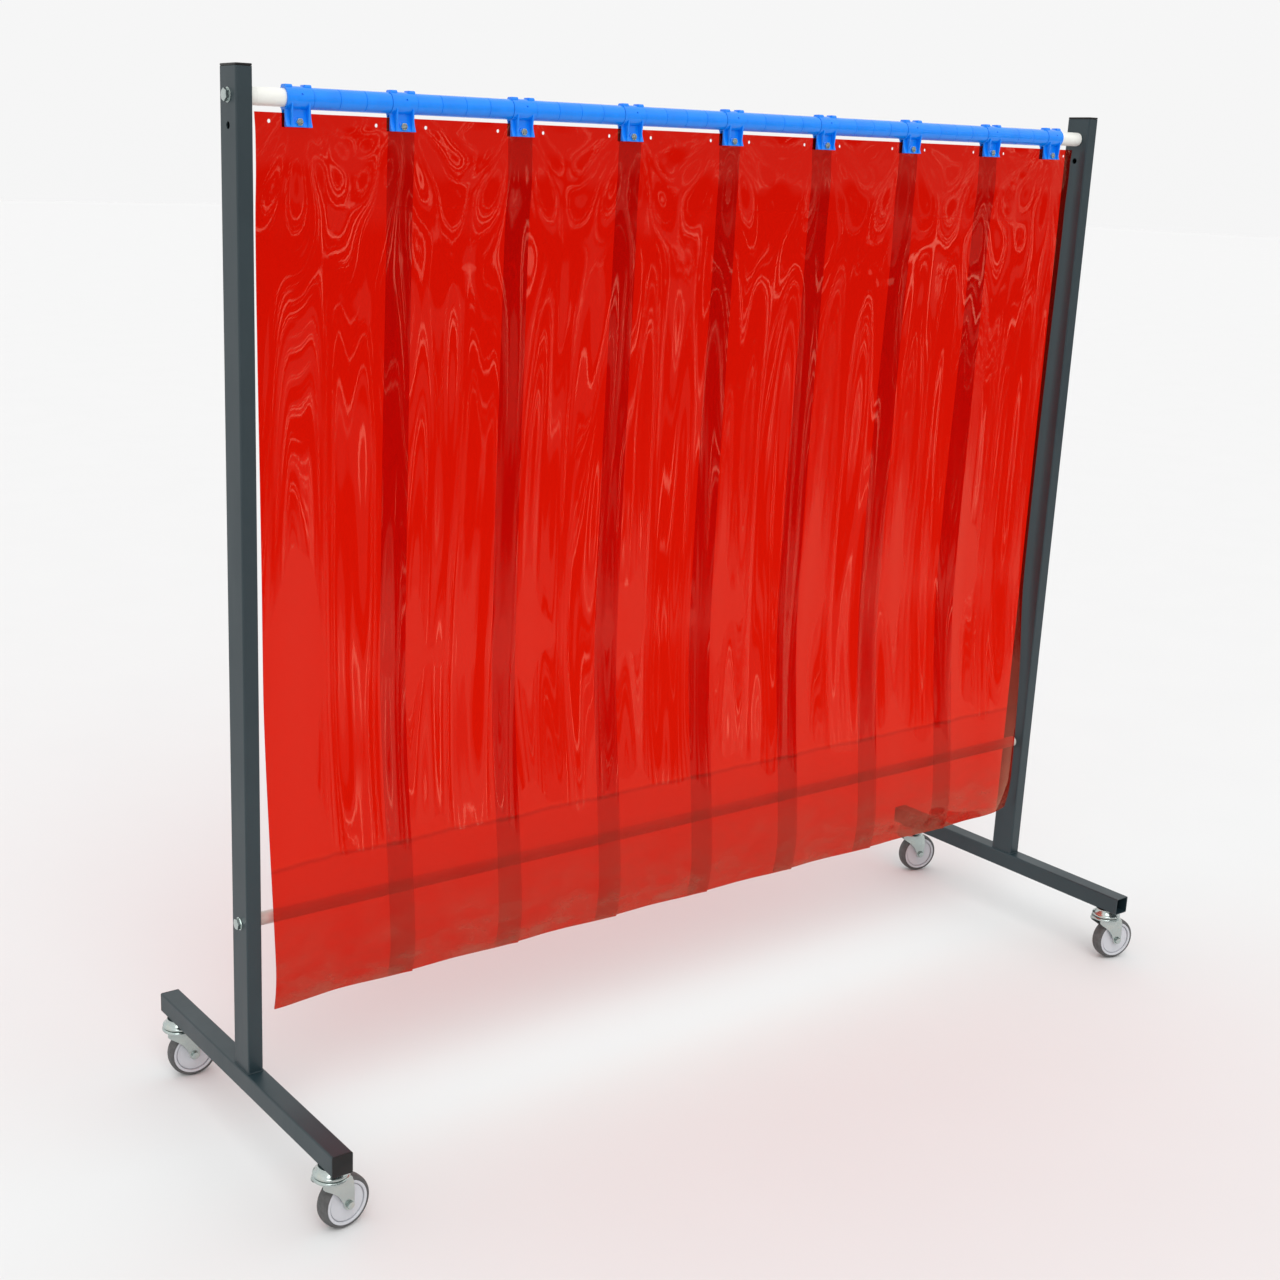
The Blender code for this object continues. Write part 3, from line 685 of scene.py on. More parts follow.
def sleeve_mesh(half):
    """A spacer tube with a fine ring groove at each joint between its 50 mm lengths."""
    mouth = SLEEVE_RADIUS - SLEEVE_EDGE
    profile = [(BORE_RADIUS, -half), (mouth, -half), (SLEEVE_RADIUS, -half + SLEEVE_EDGE)]
    joints = round(2 * half / GROOVE_SPACING)
    for joint in range(1, joints):
        x = -half + joint * 2 * half / joints
        profile += [
            (SLEEVE_RADIUS, x - GROOVE_HALF), (SLEEVE_RADIUS - GROOVE_DEPTH, x),
            (SLEEVE_RADIUS, x + GROOVE_HALF),
        ]
    profile += [(SLEEVE_RADIUS, half - SLEEVE_EDGE), (mouth, half), (BORE_RADIUS, half)]
    return lathe(profile, ALONG_X)


def make_sleeves():
    for index in range(1, SLEEVE_COUNT + 1):
        node = f"sleeve_{index}"
        place = Matrix.Translation(middle(node))
        mesh = sleeve_mesh(half_size(node).x)
        piece(f"spacer_{node}", mesh, ["blue_plastic"], "sleeves", [node], place, 25.0)


def hex_head(corner, height):
    """A hexagon head standing on height 0, with its top corners turned off."""
    flat = corner * HEX_FLAT
    outside = corner * HEAD_CLEAR
    profile = [(0.0, -height), (outside, -height), (outside, height * HEAD_TURNED_FROM)]
    profile += [(flat * across, height * up) for across, up in HEAD_TURNED]
    profile += [(0.0, height)]
    head = rod(corner, 0.0, height, ALONG_Z, HEX_SIDES)
    return combined(head, [lathe(profile, ALONG_Z, HEAD_ROUND)], "INTERSECT")


def facing_head(corner, height, side, start):
    """A hexagon head or nut that stands on depth start and faces the front (-1) or the back (1)."""
    mesh = hex_head(corner, height)
    mesh.transform(Matrix.Rotation(-side * math.pi / 2, 4, "X"))
    return shifted(mesh, (0.0, start, 0.0))


def washer(outer, thick):
    lip = thick / 4
    bore = BAR_BORE / 2
    return lathe([(bore, 0.0), (outer, 0.0), (outer, thick - lip), (outer - lip, thick), (bore, thick)])


def joined(meshes):
    """Several closed meshes as one, without cutting them together."""
    shape = bmesh.new()
    for mesh in meshes:
        shape.from_mesh(mesh)
    result = bpy.data.meshes.new("joined")
    shape.to_mesh(result)
    shape.free()
    return result


def frame_bolt_mesh():
    """A hexagon bolt on a plain washer. Its underside is at height 0 and its shank runs below."""
    shank = rod(FRAME_BOLT_SHANK, -FRAME_BOLT_REACH, FRAME_BOLT_ROOT, ALONG_Z, SMALL_ROUND)
    head = shifted(hex_head(FRAME_BOLT_CORNER, FRAME_BOLT_HEAD), (0.0, 0.0, WASHER_THICK - TOUCH))
    return joined([shank, washer(WASHER_RADIUS, WASHER_THICK), head])


def make_frame_bolts():
    mesh = frame_bolt_mesh()
    for word, side in (("left", -1), ("right", 1)):
        face = middle(f"post_{word}").x + side * half_size(f"post_{word}").x
        for kind, bar in (("rail", RAIL), ("tie", TIE)):
            node = f"{kind}_bolt_{word}"
            outward = Matrix.Rotation(side * math.pi / 2, 4, "Y")
            tightened = Matrix.Rotation(FRAME_BOLT_TURN + bar.z, 4, "Z")
            place = Matrix.Translation((face + side * TOUCH, 0.0, bar.z)) @ outward @ tightened
            piece(f"hex_{node}", mesh, ["zinc_plate"], "frame", [node], place, 25.0)


# ---- hooks ----
JAW_TOP = -0.0160  # heights from here on are about the rail's axis
JAW_BEND = -0.0265  # where the front jaw starts to sweep forward
JAW_FOOT = -0.0465
JAW_INNER = 0.0034
JAW_OUTER = 0.0062
JAW_HALF = COLLAR_HALF - 0.0004
JAW_SWEEP = 1.5  # the power of its curve
JAW_STEPS = 7
LIP_OUT = 0.0122
RIB_AT = 0.0160
RIB_HALF = 0.0014
BOLT_DROP = 0.0380
PAD_FROM = COLLAR_HALF - 0.0135
PAD_TO = COLLAR_HALF - 0.0005
PAD_SOFT = 0.0009
RIB_SOFT = 0.0004
JAW_SOFT = 0.0005

# Sections of the hook as (depth, height). Negative depths are in front.
PAD_OUTLINE = [
    (-0.0092, 0.0155), (0.0092, 0.0155), (0.0092, 0.0185), (0.0070, 0.0217), (-0.0070, 0.0217),
    (-0.0092, 0.0185),
]
RIB_OUTLINE = [
    (-0.0045, JAW_TOP), (-0.0172, -0.0070), (-0.0182, -0.0100), (-0.0160, -0.0300),
    (-0.0140, JAW_FOOT + EDGE_ROUND), (-0.0132, JAW_FOOT), (-0.0045, JAW_FOOT),
]
BACK_JAW_OUTLINE = [
    (JAW_INNER, JAW_TOP), (JAW_OUTER + 0.003, JAW_TOP), (JAW_OUTER, -0.0215), (JAW_OUTER, JAW_FOOT),
    (JAW_INNER, JAW_FOOT),
]
BOSS_PROFILE = [(0.0, -0.0108), (0.0070, -0.0108), (0.0078, -0.0100), (0.0078, -0.0045), (0.0, -0.0045)]
BOSS_ROUND = 40
DIMPLE_PROFILE = [(0.0, 0.0168), (0.0016, 0.0168), (0.0019, 0.0200), (0.0, 0.0200)]
DIMPLE_TILT = math.radians(72)  # forward from straight up
DIMPLE_ASIDE = 0.0025
NOTCH_RADIUS = 0.0021
NOTCH_REACH = 0.004
NOTCH_PLACE = (0.0105, -0.0105, 0.0205)
CUT_ROUND = 16

HOOK_BOLT_CORNER = 0.0064
HOOK_BOLT_HEAD = 0.0036
HOOK_BOLT_FACE = -0.0109  # where its head starts, just inside the boss's face
HOOK_NUT_CORNER = 0.0058
HOOK_NUT_HEIGHT = 0.0042
HOOK_SHANK_PROFILE = [(0.0, -0.0110), (0.0024, -0.0110), (0.0024, 0.0120), (0.0018, 0.0126), (0.0, 0.0126)]


def front_jaw_outline():
    """The front jaw's section as (depth, height): it drops straight, then sweeps forward to its lip."""
    points = [(-JAW_INNER, JAW_TOP), (-JAW_OUTER, JAW_TOP)]
    for step in range(JAW_STEPS + 1):
        t = step / JAW_STEPS
        height = JAW_BEND + t * (JAW_FOOT - JAW_BEND + EDGE_ROUND)
        points.append((-JAW_OUTER - (LIP_OUT - JAW_OUTER) * t ** JAW_SWEEP, height))
    return points + [(-LIP_OUT + EDGE_ROUND, JAW_FOOT), (-JAW_INNER, JAW_FOOT)]


def collar_mesh():
    rim = COLLAR_HALF - EDGE_ROUND
    face = COLLAR_RADIUS - EDGE_ROUND
    return lathe([
        (BORE_RADIUS, -COLLAR_HALF), (face, -COLLAR_HALF), (COLLAR_RADIUS, -rim),
        (COLLAR_RADIUS, rim), (face, COLLAR_HALF), (BORE_RADIUS, COLLAR_HALF),
    ], ALONG_X)


def hook_cuts():
    """The small moulding dimple in the collar's front and the notch in its right pad."""
    dimple = lathe(DIMPLE_PROFILE, ALONG_Z, CUT_ROUND)
    dimple.transform(Matrix.Rotation(DIMPLE_TILT, 4, "X"))
    notch = rod(NOTCH_RADIUS, -NOTCH_REACH, NOTCH_REACH, ALONG_Y, CUT_ROUND)
    return [shifted(dimple, (DIMPLE_ASIDE, 0.0, 0.0)), shifted(notch, NOTCH_PLACE)]


def hook_mesh():
    """A collar with two pads on top, a flared front jaw between ribs, a plain back jaw and a bolt boss."""
    parts = []
    for side in (-1, 1):
        start, end = sorted((side * PAD_FROM, side * PAD_TO))
        parts.append(bevelled(prism(PAD_OUTLINE, start, end, ALONG_X), PAD_SOFT))
        rib = prism(RIB_OUTLINE, side * RIB_AT - RIB_HALF, side * RIB_AT + RIB_HALF, ALONG_X)
        parts.append(bevelled(rib, RIB_SOFT))
    for outline in (front_jaw_outline(), BACK_JAW_OUTLINE):
        parts.append(bevelled(prism(outline, -JAW_HALF, JAW_HALF, ALONG_X), JAW_SOFT))
    boss = lathe(BOSS_PROFILE, ALONG_Y, BOSS_ROUND)
    parts.append(shifted(boss, (0.0, 0.0, -BOLT_DROP)))
    return combined(combined(collar_mesh(), parts), hook_cuts(), "DIFFERENCE")


def hook_bolt_mesh():
    """The clamping bolt: a hexagon head in front and a nut behind, placed about the rail's axis."""
    head = facing_head(HOOK_BOLT_CORNER, HOOK_BOLT_HEAD, -1, HOOK_BOLT_FACE)
    nut = facing_head(HOOK_NUT_CORNER, HOOK_NUT_HEIGHT, 1, JAW_OUTER + TOUCH)
    shank = lathe(HOOK_SHANK_PROFILE, ALONG_Y, TINY_ROUND)
    return shifted(joined([head, nut, shank]), (0.0, 0.0, -BOLT_DROP))


def make_hooks():
    body = hook_mesh()
    bolt = hook_bolt_mesh()
    for index in range(1, HOOK_COUNT + 1):
        x = middle(f"hook_{index}").x
        place = Matrix.Translation((x, 0.0, RAIL.z)) @ Matrix.Rotation(CURTAIN_LEAN, 4, "X")
        piece(f"strip_hook_{index}", body, ["blue_plastic"], "curtain", [f"hook_{index}"], place, 32.0)
        piece(f"hook_bolt_{index}", bolt, ["zinc_plate"], "curtain", (), place, 25.0)


# ---- caps, plugs and welds ----
TUBE_CORNER = 0.003  # outer corner radius of the posts and feet
PLUG_GAP = 0.0023  # a plug is this much smaller all round than its plate
PLUG_CORNER = 0.0011
CAP_PLATE = 0.004  # thickness over a post's end
PLUG_PLATE = 0.0025  # and over a foot's end
PLATE_SOFT = 0.3  # the share of its thickness that is rounded over

WELD_RADIUS = 0.0016
WELD_RISE = 0.3  # the bead's axis lies this share of its radius above the foot
WELD_FLATNESS = 0.8
WELD_STEP = 0.0012
WELD_SIDES = 10
WELD_SWELLS = ((0.10, 1.9), (0.10, 0.37))  # share of the radius, and radians from step to step


def rounded_outline(half_x, half_y, corner, steps=6):
    """A rectangle with round corners, drawn counter-clockwise about its middle."""
    points = []
    for quarter, (side_x, side_y) in enumerate(((1, 1), (-1, 1), (-1, -1), (1, -1))):
        for step in range(steps + 1):
            angle = math.pi / 2 * (quarter + step / steps)
            points.append((side_x * (half_x - corner) + corner * math.cos(angle),
                           side_y * (half_y - corner) + corner * math.sin(angle)))
    return points


def cap_mesh(half_x, half_y, plate, depth):
    """A moulded cap: a plate with a soft edge over a plug that is a little smaller."""
    top = prism(rounded_outline(half_x, half_y, TUBE_CORNER), 0.0, plate)
    plug = prism(rounded_outline(half_x - PLUG_GAP, half_y - PLUG_GAP, PLUG_CORNER), -depth, plate / 2)
    return combined(bevelled(top, plate * PLATE_SOFT, 3, 60.0), [plug])


def make_caps():
    for word in ("left", "right"):
        node = f"post_cap_{word}"
        half = half_size(node)
        mesh = cap_mesh(half.x, half.y, CAP_PLATE, 2 * half.z - CAP_PLATE)
        centre = middle(node)
        place = Matrix.Translation((centre.x, centre.y, centre.z + half.z - CAP_PLATE))
        piece(f"moulded_{node}", mesh, ["black_plastic"], "frame", [node], place)
    for node in ("foot_plug_front_left", "foot_plug_rear_left", "foot_plug_rear_right"):
        half = half_size(node)
        mesh = cap_mesh(half.x, half.z, PLUG_PLATE, 2 * half.y - PLUG_PLATE)
        side = -1 if "front" in node else 1
        centre = middle(node)
        face = Matrix.Translation((centre.x, centre.y + side * (half.y - PLUG_PLATE), centre.z))
        place = face @ Matrix.Rotation(-side * math.pi / 2, 4, "X")
        piece(f"moulded_{node}", mesh, ["black_plastic"], "frame", [node], place)


def stepped_path(outline, length):
    """Points round a closed outline, about the given length apart."""
    path = []
    for start, end in zip(outline, outline[1:] + outline[:1]):
        count = max(1, round(math.dist(start, end) / length))
        for step in range(count):
            t = step / count
            path.append((start[0] + (end[0] - start[0]) * t, start[1] + (end[1] - start[1]) * t))
    return path


def weld_ring(path, index):
    """The bead's section at one point of its path, square to the path and slightly flattened."""
    here = path[index]
    before = path[index - 1]
    after = path[(index + 1) % len(path)]
    run = Vector((after[0] - before[0], after[1] - before[1], 0.0)).normalized()
    up = Vector((0.0, 0.0, 1.0))
    out = run.cross(up)
    radius = WELD_RADIUS * (1.0 + sum(share * math.sin(index * rate) for share, rate in WELD_SWELLS))
    ring = []
    for side in range(WELD_SIDES):
        angle = 2 * math.pi * side / WELD_SIDES
        across = out * radius * math.cos(angle)
        ring.append(Vector((*here, 0.0)) + across + up * radius * WELD_FLATNESS * math.sin(angle))
    return ring


def weld_mesh(half_x, half_y):
    """A weld bead round the post's foot, with the small ripples that a painted bead keeps."""
    path = stepped_path(rounded_outline(half_x, half_y, TUBE_CORNER, 4), WELD_STEP)
    vertices = []
    faces = []
    for index in range(len(path)):
        vertices += weld_ring(path, index)
        ring = index * WELD_SIDES
        ahead = (index + 1) % len(path) * WELD_SIDES
        for side in range(WELD_SIDES):
            beside = (side + 1) % WELD_SIDES
            faces.append((ring + side, ring + beside, ahead + beside, ahead + side))
    return mesh_from("weld", vertices, faces)


def make_welds():
    for word in ("left", "right"):
        half = half_size(f"post_{word}")
        centre = middle(f"post_{word}")
        foot_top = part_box(f"foot_{word}")[1].z
        place = Matrix.Translation((centre.x, centre.y, foot_top + WELD_RADIUS * WELD_RISE))
        piece(f"weld_bead_{word}", weld_mesh(half.x, half.y), ["dark_powder_coat"], "frame", (), place, 60.0)


# ---- casters ----
# Profiles of turned pieces are (radius, height). Heights are above the ground for what turns about the swivel
# axis, and from the wheel's middle plane for what turns about the axle.
WHEEL_RADIUS = 0.050
TRAIL = 0.026  # from the swivel axis back to the axle
CASTER_ROUND = 72

STEM_RADIUS = 0.0060  # the cup's kingpin below it and its stem above it
STEM_SOFT = 0.0008
STEM_TIP = 0.001
CUP_PROFILE = [
    (STEM_RADIUS, 0.1128), (0.0300, 0.1128), (0.0318, 0.1133), (0.0326, 0.1147), (0.0326, 0.1162),
    (0.0318, 0.1178), (0.0302, 0.1190), (0.0290, 0.1197), (0.0275, 0.1215), (0.0258, 0.1242),
    (0.0242, 0.1266), (0.0236, 0.1282), (0.0236, 0.1292), (0.0231, 0.1297), (0.0061, 0.1297),
]
KINGPIN_PROFILE = [
    (0.0, 0.1012), (STEM_RADIUS, 0.1012), (0.0085, 0.1020), (0.0098, 0.1035), (0.0098, 0.1047),
    (STEM_RADIUS, 0.1047),
]
CROWN_PROFILE = [
    (0.0063, 0.1050), (0.0322, 0.1050), (0.0334, 0.1056), (0.0339, 0.1068), (0.0338, 0.1082),
    (0.0330, 0.1098), (0.0318, 0.1110), (0.0296, 0.1117), (0.0205, 0.1120), (0.0195, 0.1125),
    (0.0063, 0.1125),
]

# A fork leg from the side, as (along the trail, height): its front edge, and its back edge above the eye.
LEG_FRONT = [
    (-0.0285, 0.1068), (-0.0292, 0.1035), (-0.0290, 0.0992), (-0.0262, 0.0958), (-0.0185, 0.0905),
    (-0.0088, 0.0838), (0.0008, 0.0755), (0.0082, 0.0660), (0.0126, 0.0565),
]
LEG_BACK = [(0.0370, 0.0640), (0.0366, 0.0800), (0.0352, 0.0940), (0.0325, 0.1020), (0.0285, 0.1068)]
EYE_RADIUS = 0.0108
EYE_FROM = 196.0  # degrees round the axle
EYE_TO = 362.0
EYE_STEPS = 14
LEG_MIDDLE = 0.01875  # from the wheel's middle plane to the middle of a leg's sheet
LEG_SHEET = 0.0025
LEG_SOFT = 0.0007
EYE_PAD_FACE = 0.0084  # radii of the low pad round the axle, at its face and its root
EYE_PAD_ROOT = 0.0088
EYE_PAD_RISE = 0.0005
EYE_PAD_BACK_ROOT = 0.0004  # from the start of the back leg's sheet, and of the front one's
EYE_PAD_FRONT_ROOT = 0.0015
EYE_PAD_ROUND = 40
AXLE_HOLE = 0.0043
DRILL_REACH = 0.04

AXLE_PROFILE = [(0.0, -0.0217), (0.0040, -0.0217), (0.0040, 0.0279), (0.0032, 0.0287), (0.0, 0.0287)]
AXLE_FACE = 0.0207  # the outer faces of the legs' pads
AXLE_HEAD_CORNER = 0.0076
AXLE_HEAD = 0.0050
AXLE_NUT = 0.0062

# One face of the wheel centre: bearing boss, dished disc, dark groove and raised rim ring.
WHEEL_FACE = [
    (AXLE_HOLE, 0.0160), (0.0104, 0.0160), (0.0111, 0.0154), (0.0114, 0.0130), (0.0126, 0.0121),
    (0.0150, 0.0118), (0.0325, 0.0118), (0.0346, 0.0116), (0.0352, 0.0108), (0.0354, 0.0092),
    (0.0364, 0.0092), (0.0366, 0.0132), (0.0372, 0.0141), (0.0380, 0.0143), (0.0412, 0.0143),
    (0.0419, 0.0138), (0.0420, 0.0130),
]
# One half of the tyre, from the slight step where it grips the rim to the middle of its tread.
TYRE_FACE = [
    (0.0423, 0.0132), (0.0425, 0.0140), (0.0436, 0.0143), (0.0452, 0.0139), (0.0468, 0.0129),
    (0.0481, 0.0114), (0.0490, 0.0094), (0.0496, 0.0070), (0.0499, 0.0040), (WHEEL_RADIUS, 0.0010),
]


def head_mesh(top):
    """The fixed ball-race cup under the foot, its kingpin through the fork, and its stem up into the foot."""
    stem = [(STEM_RADIUS, top - STEM_TIP), (STEM_RADIUS - STEM_SOFT, top), (0.0, top)]
    return lathe(KINGPIN_PROFILE + CUP_PROFILE + stem, ALONG_Z, CASTER_ROUND)


def leg_outline():
    """A pressed fork leg's side view: the leading edge sweeps in to the axle's eye."""
    eye = []
    for step in range(EYE_STEPS + 1):
        angle = math.radians(EYE_FROM + (EYE_TO - EYE_FROM) * step / EYE_STEPS)
        eye.append((TRAIL + EYE_RADIUS * math.cos(angle), WHEEL_RADIUS + EYE_RADIUS * math.sin(angle)))
    return LEG_FRONT + eye + LEG_BACK


def eye_pad(side, start):
    """The low round pad pressed out of a leg round the axle. start is where the leg's sheet starts."""
    if side > 0:
        ends = [(EYE_PAD_ROOT, start + EYE_PAD_BACK_ROOT), (EYE_PAD_FACE, start + LEG_SHEET + EYE_PAD_RISE)]
    else:
        ends = [(EYE_PAD_FACE, start - EYE_PAD_RISE), (EYE_PAD_ROOT, start + EYE_PAD_FRONT_ROOT)]
    profile = [(0.0, ends[0][1])] + ends + [(0.0, ends[1][1])]
    return shifted(lathe(profile, ALONG_Y, EYE_PAD_ROUND), (TRAIL, 0.0, WHEEL_RADIUS))


def fork_mesh():
    """A pressed fork: a round shouldered crown and two legs bent down from it, in the trail's own frame."""
    parts = []
    for side in (-1, 1):
        start = side * LEG_MIDDLE - LEG_SHEET / 2
        leg = prism(leg_outline(), start, start + LEG_SHEET, ALONG_Y)
        parts.append(bevelled(leg, LEG_SOFT, 2, 50.0))
        parts.append(eye_pad(side, start))
    body = combined(lathe(CROWN_PROFILE, ALONG_Z, CASTER_ROUND), parts)
    drill = rod(AXLE_HOLE, -DRILL_REACH, DRILL_REACH, ALONG_Y, SMALL_ROUND)
    return combined(body, [shifted(drill, (TRAIL, 0.0, WHEEL_RADIUS))], "DIFFERENCE")


def caster_axle_mesh():
    """The axle bolt about its own axis: a hexagon head on one side, a nut and the bolt's end on the other."""
    head = facing_head(AXLE_HEAD_CORNER, AXLE_HEAD, -1, -AXLE_FACE)
    nut = facing_head(AXLE_HEAD_CORNER, AXLE_NUT, 1, AXLE_FACE)
    return joined([lathe(AXLE_PROFILE, ALONG_Y, SMALL_ROUND), head, nut])


def two_faced(face):
    """A wheel part turned from the profile of one face and its mirror image."""
    return lathe(face + [(radius, -height) for radius, height in reversed(face)], ALONG_Y, WHEEL_ROUND)


def make_casters():
    shared = (fork_mesh(), caster_axle_mesh(), two_faced(WHEEL_FACE), two_faced(TYRE_FACE))
    for name in CASTER_NAMES:
        pivot = middle(f"{name}_caster_head")
        hub = middle(f"{name}_wheel_centre")
        trail = Matrix.Rotation(math.atan2(hub.y - pivot.y, hub.x - pivot.x), 4, "Z")
        fork, axle, disc, tyre = copies = [mesh.copy() for mesh in shared]
        for copy in copies:
            copy.transform(trail)
        head = head_mesh(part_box(f"{name}_caster_head")[1].z)
        swivel = Matrix.Translation((pivot.x, pivot.y, 0.0))
        spin = Matrix.Translation(hub)
        rows = [
            ("race_cup", head, "zinc_plate", "frame", "caster_head", swivel, 30.0),
            ("pressed_fork", fork, "zinc_plate", f"{name}_swivel", "caster_fork", swivel, 30.0),
            ("axle_bolt", axle, "zinc_plate", f"{name}_swivel", "axle", spin, 25.0),
            ("wheel_disc", disc, "pale_wheel_plastic", f"{name}_wheel", "wheel_centre", spin, 30.0),
            ("rubber_tyre", tyre, "grey_rubber", f"{name}_wheel", "tyre", spin, 40.0),
        ]
        for kind, mesh, material, body, node, place, sharp in rows:
            piece(f"{name}_{kind}", mesh, [material], body, [f"{name}_{node}"], place, sharp)


# ---- stage ----
FLOOR_HALF = 60.0
WORLD_GREYS = ((0.0, 0.875), (0.10, 0.88), (0.9, 1.0))  # from the horizon to straight up
WORLD_STRENGTH = 1.05
SUN_STRENGTH = 1.05
SUN_SPREAD = math.radians(40)
SUN_TURN = (math.radians(38), math.radians(-22), 0.0)

CARD_LEFT = -3.0
CARD_RIGHT = 9.0
CARD_FRONT = -3.1
CARD_TOP = 3.2
GROUND_EDGE = (-0.30, 0.55)  # the jagged line wanders between these heights
GROUND_GLOW = 0.62
ROOM_GLOW = 0.05
SLIT_GLOW = 3.4
PANE_GLOW = 0.38
SKY_GLOW = 0.34
SKY_EDGE = (1.55, 1.85)  # heights over which the pale upper wall sets in
WINDOW_GLOW = 1.3
WINDOW_FOOT = (1.05, 1.10)
WINDOW_HEAD = (1.40, 1.45)
DIM_HEIGHTS = (2.5, 1.4)  # above the first, slits and panes are dimmed to DIM_SHARE
DIM_SHARE = 0.12


def plain_floor(name):
    s = Shading(name)
    s.drive("Base Color", s.ramp(s.noise(3.0, 3.0), [(0.2, grey(0.735)), (0.8, grey(0.745))]))
    s.set(Roughness=0.75, Specular_IOR_Level=0.2)
    return s.material


def staged(name, points, look):
    """A flat four-cornered stage piece, which isn't part of the object."""
    mesh = mesh_from(name, points, [(0, 1, 2, 3)])
    mesh.materials.append(look)
    item = add_object(name, mesh)
    return item


def make_floor():
    corners = [(-1, -1), (1, -1), (1, 1), (-1, 1)]
    staged("floor", [(x * FLOOR_HALF, y * FLOOR_HALF, 0.0) for x, y in corners], plain_floor("floor_look"))


def make_world():
    """A plain, very slightly graded white room all round."""
    world = bpy.data.worlds.new("studio")
    bpy.context.scene.world = world
    world.use_nodes = True
    nodes = world.node_tree.nodes
    links = world.node_tree.links
    coordinates = nodes.new("ShaderNodeTexCoord")
    split = nodes.new("ShaderNodeSeparateXYZ")
    ramp = nodes.new("ShaderNodeValToRGB")
    links.new(coordinates.outputs["Generated"], split.inputs["Vector"])
    links.new(split.outputs["Z"], ramp.inputs["Fac"])
    links.new(ramp.outputs["Color"], nodes["Background"].inputs["Color"])
    set_stops(ramp.color_ramp, [(position, grey(value)) for position, value in WORLD_GREYS])
    nodes["Background"].inputs["Strength"].default_value = WORLD_STRENGTH


def card_streaks(s, height):
    """Upright slits of light, broken in places, and dimmer broad panes beside them."""
    slits = s.rescale(s.noise(30.0, 3.0, 0.6, 0.005), 0.57, 0.60, 0.0, 1.0)
    broken = s.rescale(s.noise(4.5, 2.0, 0.5, 0.35), 0.47, 0.51, 0.0, 1.0)
    panes = s.rescale(s.noise(3.4, 2.0, 0.5, 0.30), 0.57, 0.58, 0.0, PANE_GLOW)
    bright = s.rescale(height, *DIM_HEIGHTS, DIM_SHARE, 1.0)
    lines = s.maths("MULTIPLY", s.maths("MULTIPLY", slits, broken), s.maths("MULTIPLY", bright, SLIT_GLOW))
    return s.maths("ADD", lines, s.maths("MULTIPLY", panes, bright))


def card_room(s, height):
    """Pale ground up to a jagged line, a row of windows, and a pale wall above."""
    edge = s.rescale(s.noise(7.0, 6.0, 0.75, 0.0), 0.3, 0.7, *GROUND_EDGE)
    ground = s.rescale(s.maths("SUBTRACT", height, edge), 0.0, 0.02, GROUND_GLOW, 0.0)
    sky = s.rescale(height, *SKY_EDGE, 0.0, SKY_GLOW)
    window = s.rescale(s.noise(5.0, 1.0, 0.3, 1.4), 0.66, 0.67, 0.0, WINDOW_GLOW)
    above = s.rescale(height, *WINDOW_FOOT, 0.0, 1.0)
    below = s.rescale(height, *WINDOW_HEAD, 1.0, 0.0)
    row = s.maths("MULTIPLY", window, s.maths("MULTIPLY", above, below))
    return s.maths("ADD", s.maths("ADD", ground, sky), s.maths("ADD", row, ROOM_GLOW))


def card_look(name):
    """What the glossy pieces mirror: a dim room with slits, panes and windows over pale ground."""
    s = Shading(name)
    height = s.height()
    lamp = s.add("ShaderNodeEmission")
    s.join(s.maths("ADD", card_streaks(s, height), card_room(s, height)), lamp.inputs["Strength"])
    s.join(lamp.outputs["Emission"], s.output.inputs["Surface"])
    return s.material


def make_card():
    """A card in front that only mirror rays meet, so the film has a room to reflect."""
    corners = [(CARD_LEFT, 0.0), (CARD_RIGHT, 0.0), (CARD_RIGHT, CARD_TOP), (CARD_LEFT, CARD_TOP)]
    card = staged("reflection_card", [(x, CARD_FRONT, z) for x, z in corners], card_look("card_look"))
    card.visible_camera = False
    card.visible_diffuse = False
    card.visible_shadow = False
    card.visible_transmission = False


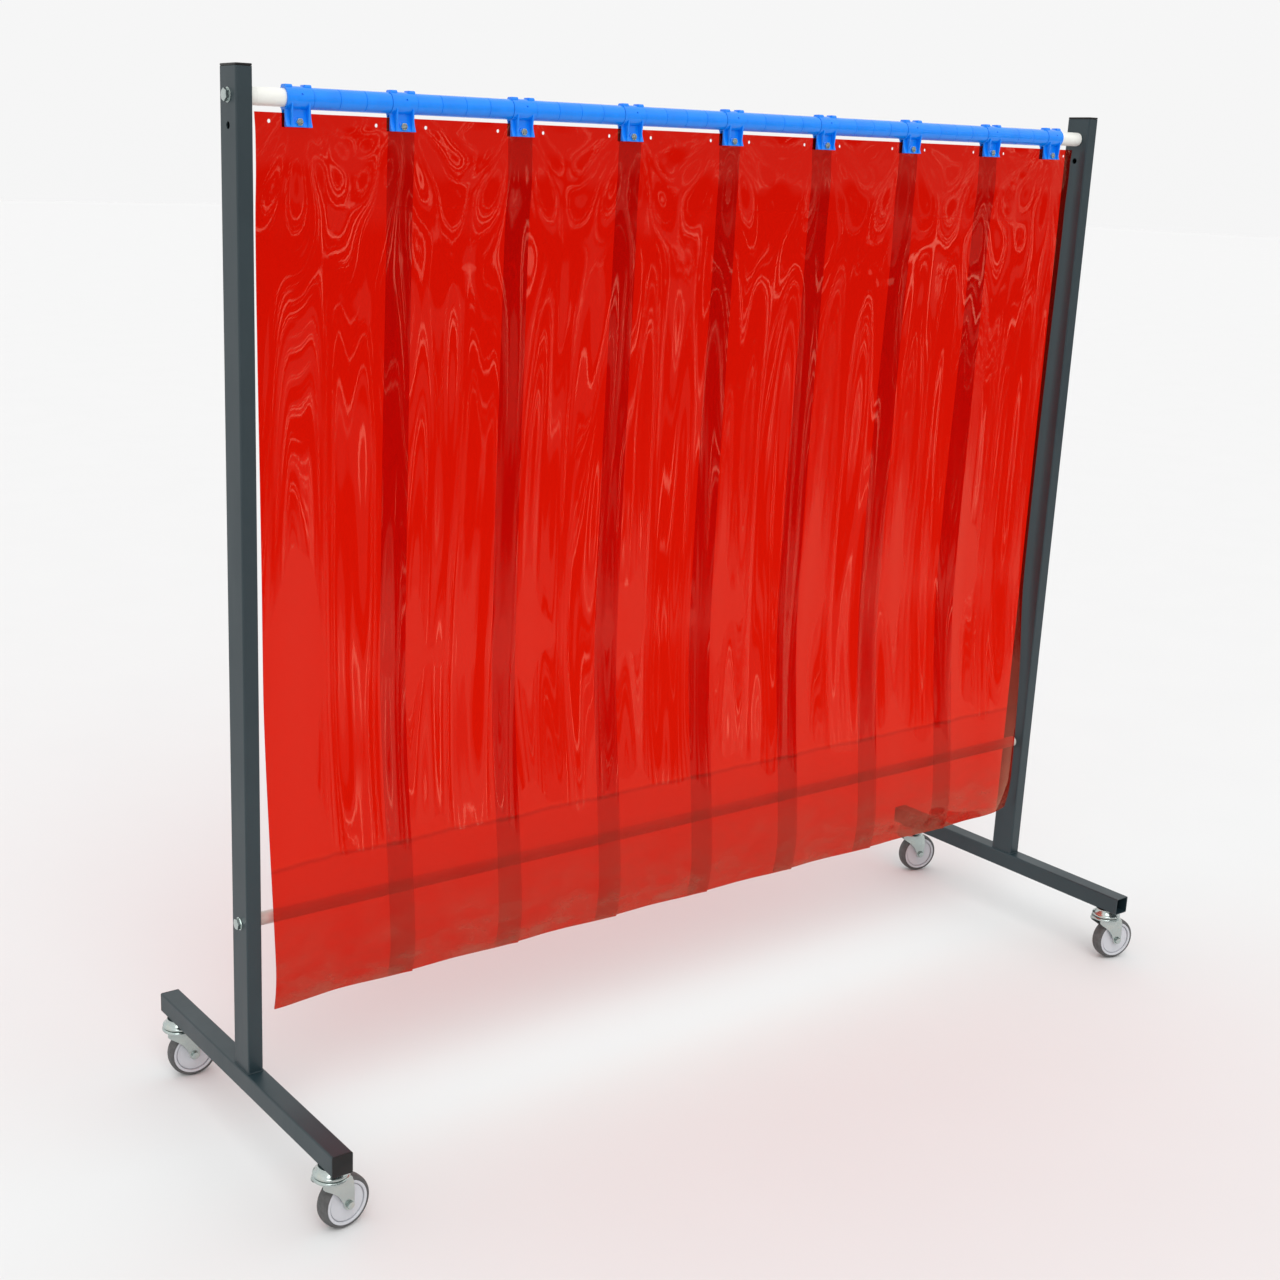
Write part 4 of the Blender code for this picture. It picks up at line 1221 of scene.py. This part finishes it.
def make_lights():
    sun = bpy.data.lights.new("soft_sun", "SUN")
    sun.energy = SUN_STRENGTH
    sun.angle = SUN_SPREAD
    add_object("soft_sun", sun).rotation_euler = SUN_TURN


# ---- camera ----
CAMERA_PLACE = (-2.38559, -2.72301, 1.82015)
CAMERA_YAW = 0.6208  # from +Y toward +X
CAMERA_PITCH = -0.2641
CAMERA_ROLL = 0.03253
SENSOR = 36.0
FOCAL_IN_FRAMES = 1.37525  # focal length as a share of the frame's width
SHIFT_X = 0.0775
VIEW_END = 200.0  # the floor is drawn out to here


def make_camera():
    camera = bpy.data.cameras.new("camera")
    camera.sensor_width = SENSOR
    camera.lens = SENSOR * FOCAL_IN_FRAMES
    camera.shift_x = SHIFT_X
    camera.clip_end = VIEW_END
    level = math.cos(CAMERA_PITCH)
    forward = Vector((math.sin(CAMERA_YAW) * level, math.cos(CAMERA_YAW) * level, math.sin(CAMERA_PITCH)))
    right = forward.cross(Vector((0.0, 0.0, 1.0))).normalized()
    up = right.cross(forward)
    rolled_right = math.cos(CAMERA_ROLL) * right + math.sin(CAMERA_ROLL) * up
    rolled_up = -math.sin(CAMERA_ROLL) * right + math.cos(CAMERA_ROLL) * up
    turn = Matrix((rolled_right, rolled_up, -forward)).transposed()
    item = add_object("camera", camera)
    item.matrix_world = Matrix.Translation(CAMERA_PLACE) @ turn.to_4x4()
    bpy.context.scene.camera = item


def dress_frame():
    """The CAD nodes that stay are given the detailed material of their slot."""
    slots = {part["node"]: part["material_slot"] for part in frame["record"]["subparts"]}
    for node, slot in slots.items():
        item = bpy.data.objects.get(node)
        if item is None or item.hide_render:
            continue
        for place in item.material_slots:
            place.material = MATERIALS[slot]


bpy.context.scene.view_settings.view_transform = "Standard"
MATERIALS = make_materials()
make_floor()
make_world()
make_lights()
make_card()
make_camera()
make_bar("smooth_rail", "hook_rail", "cream_powder_coat")
# The tie bar gets the cream darkened as painted shade.
make_bar("smooth_tie_bar", "tie_bar", "shaded_cream_coat")
make_sleeves()
make_frame_bolts()
make_hooks()
make_caps()
make_welds()
make_casters()
make_strips()
dress_frame()
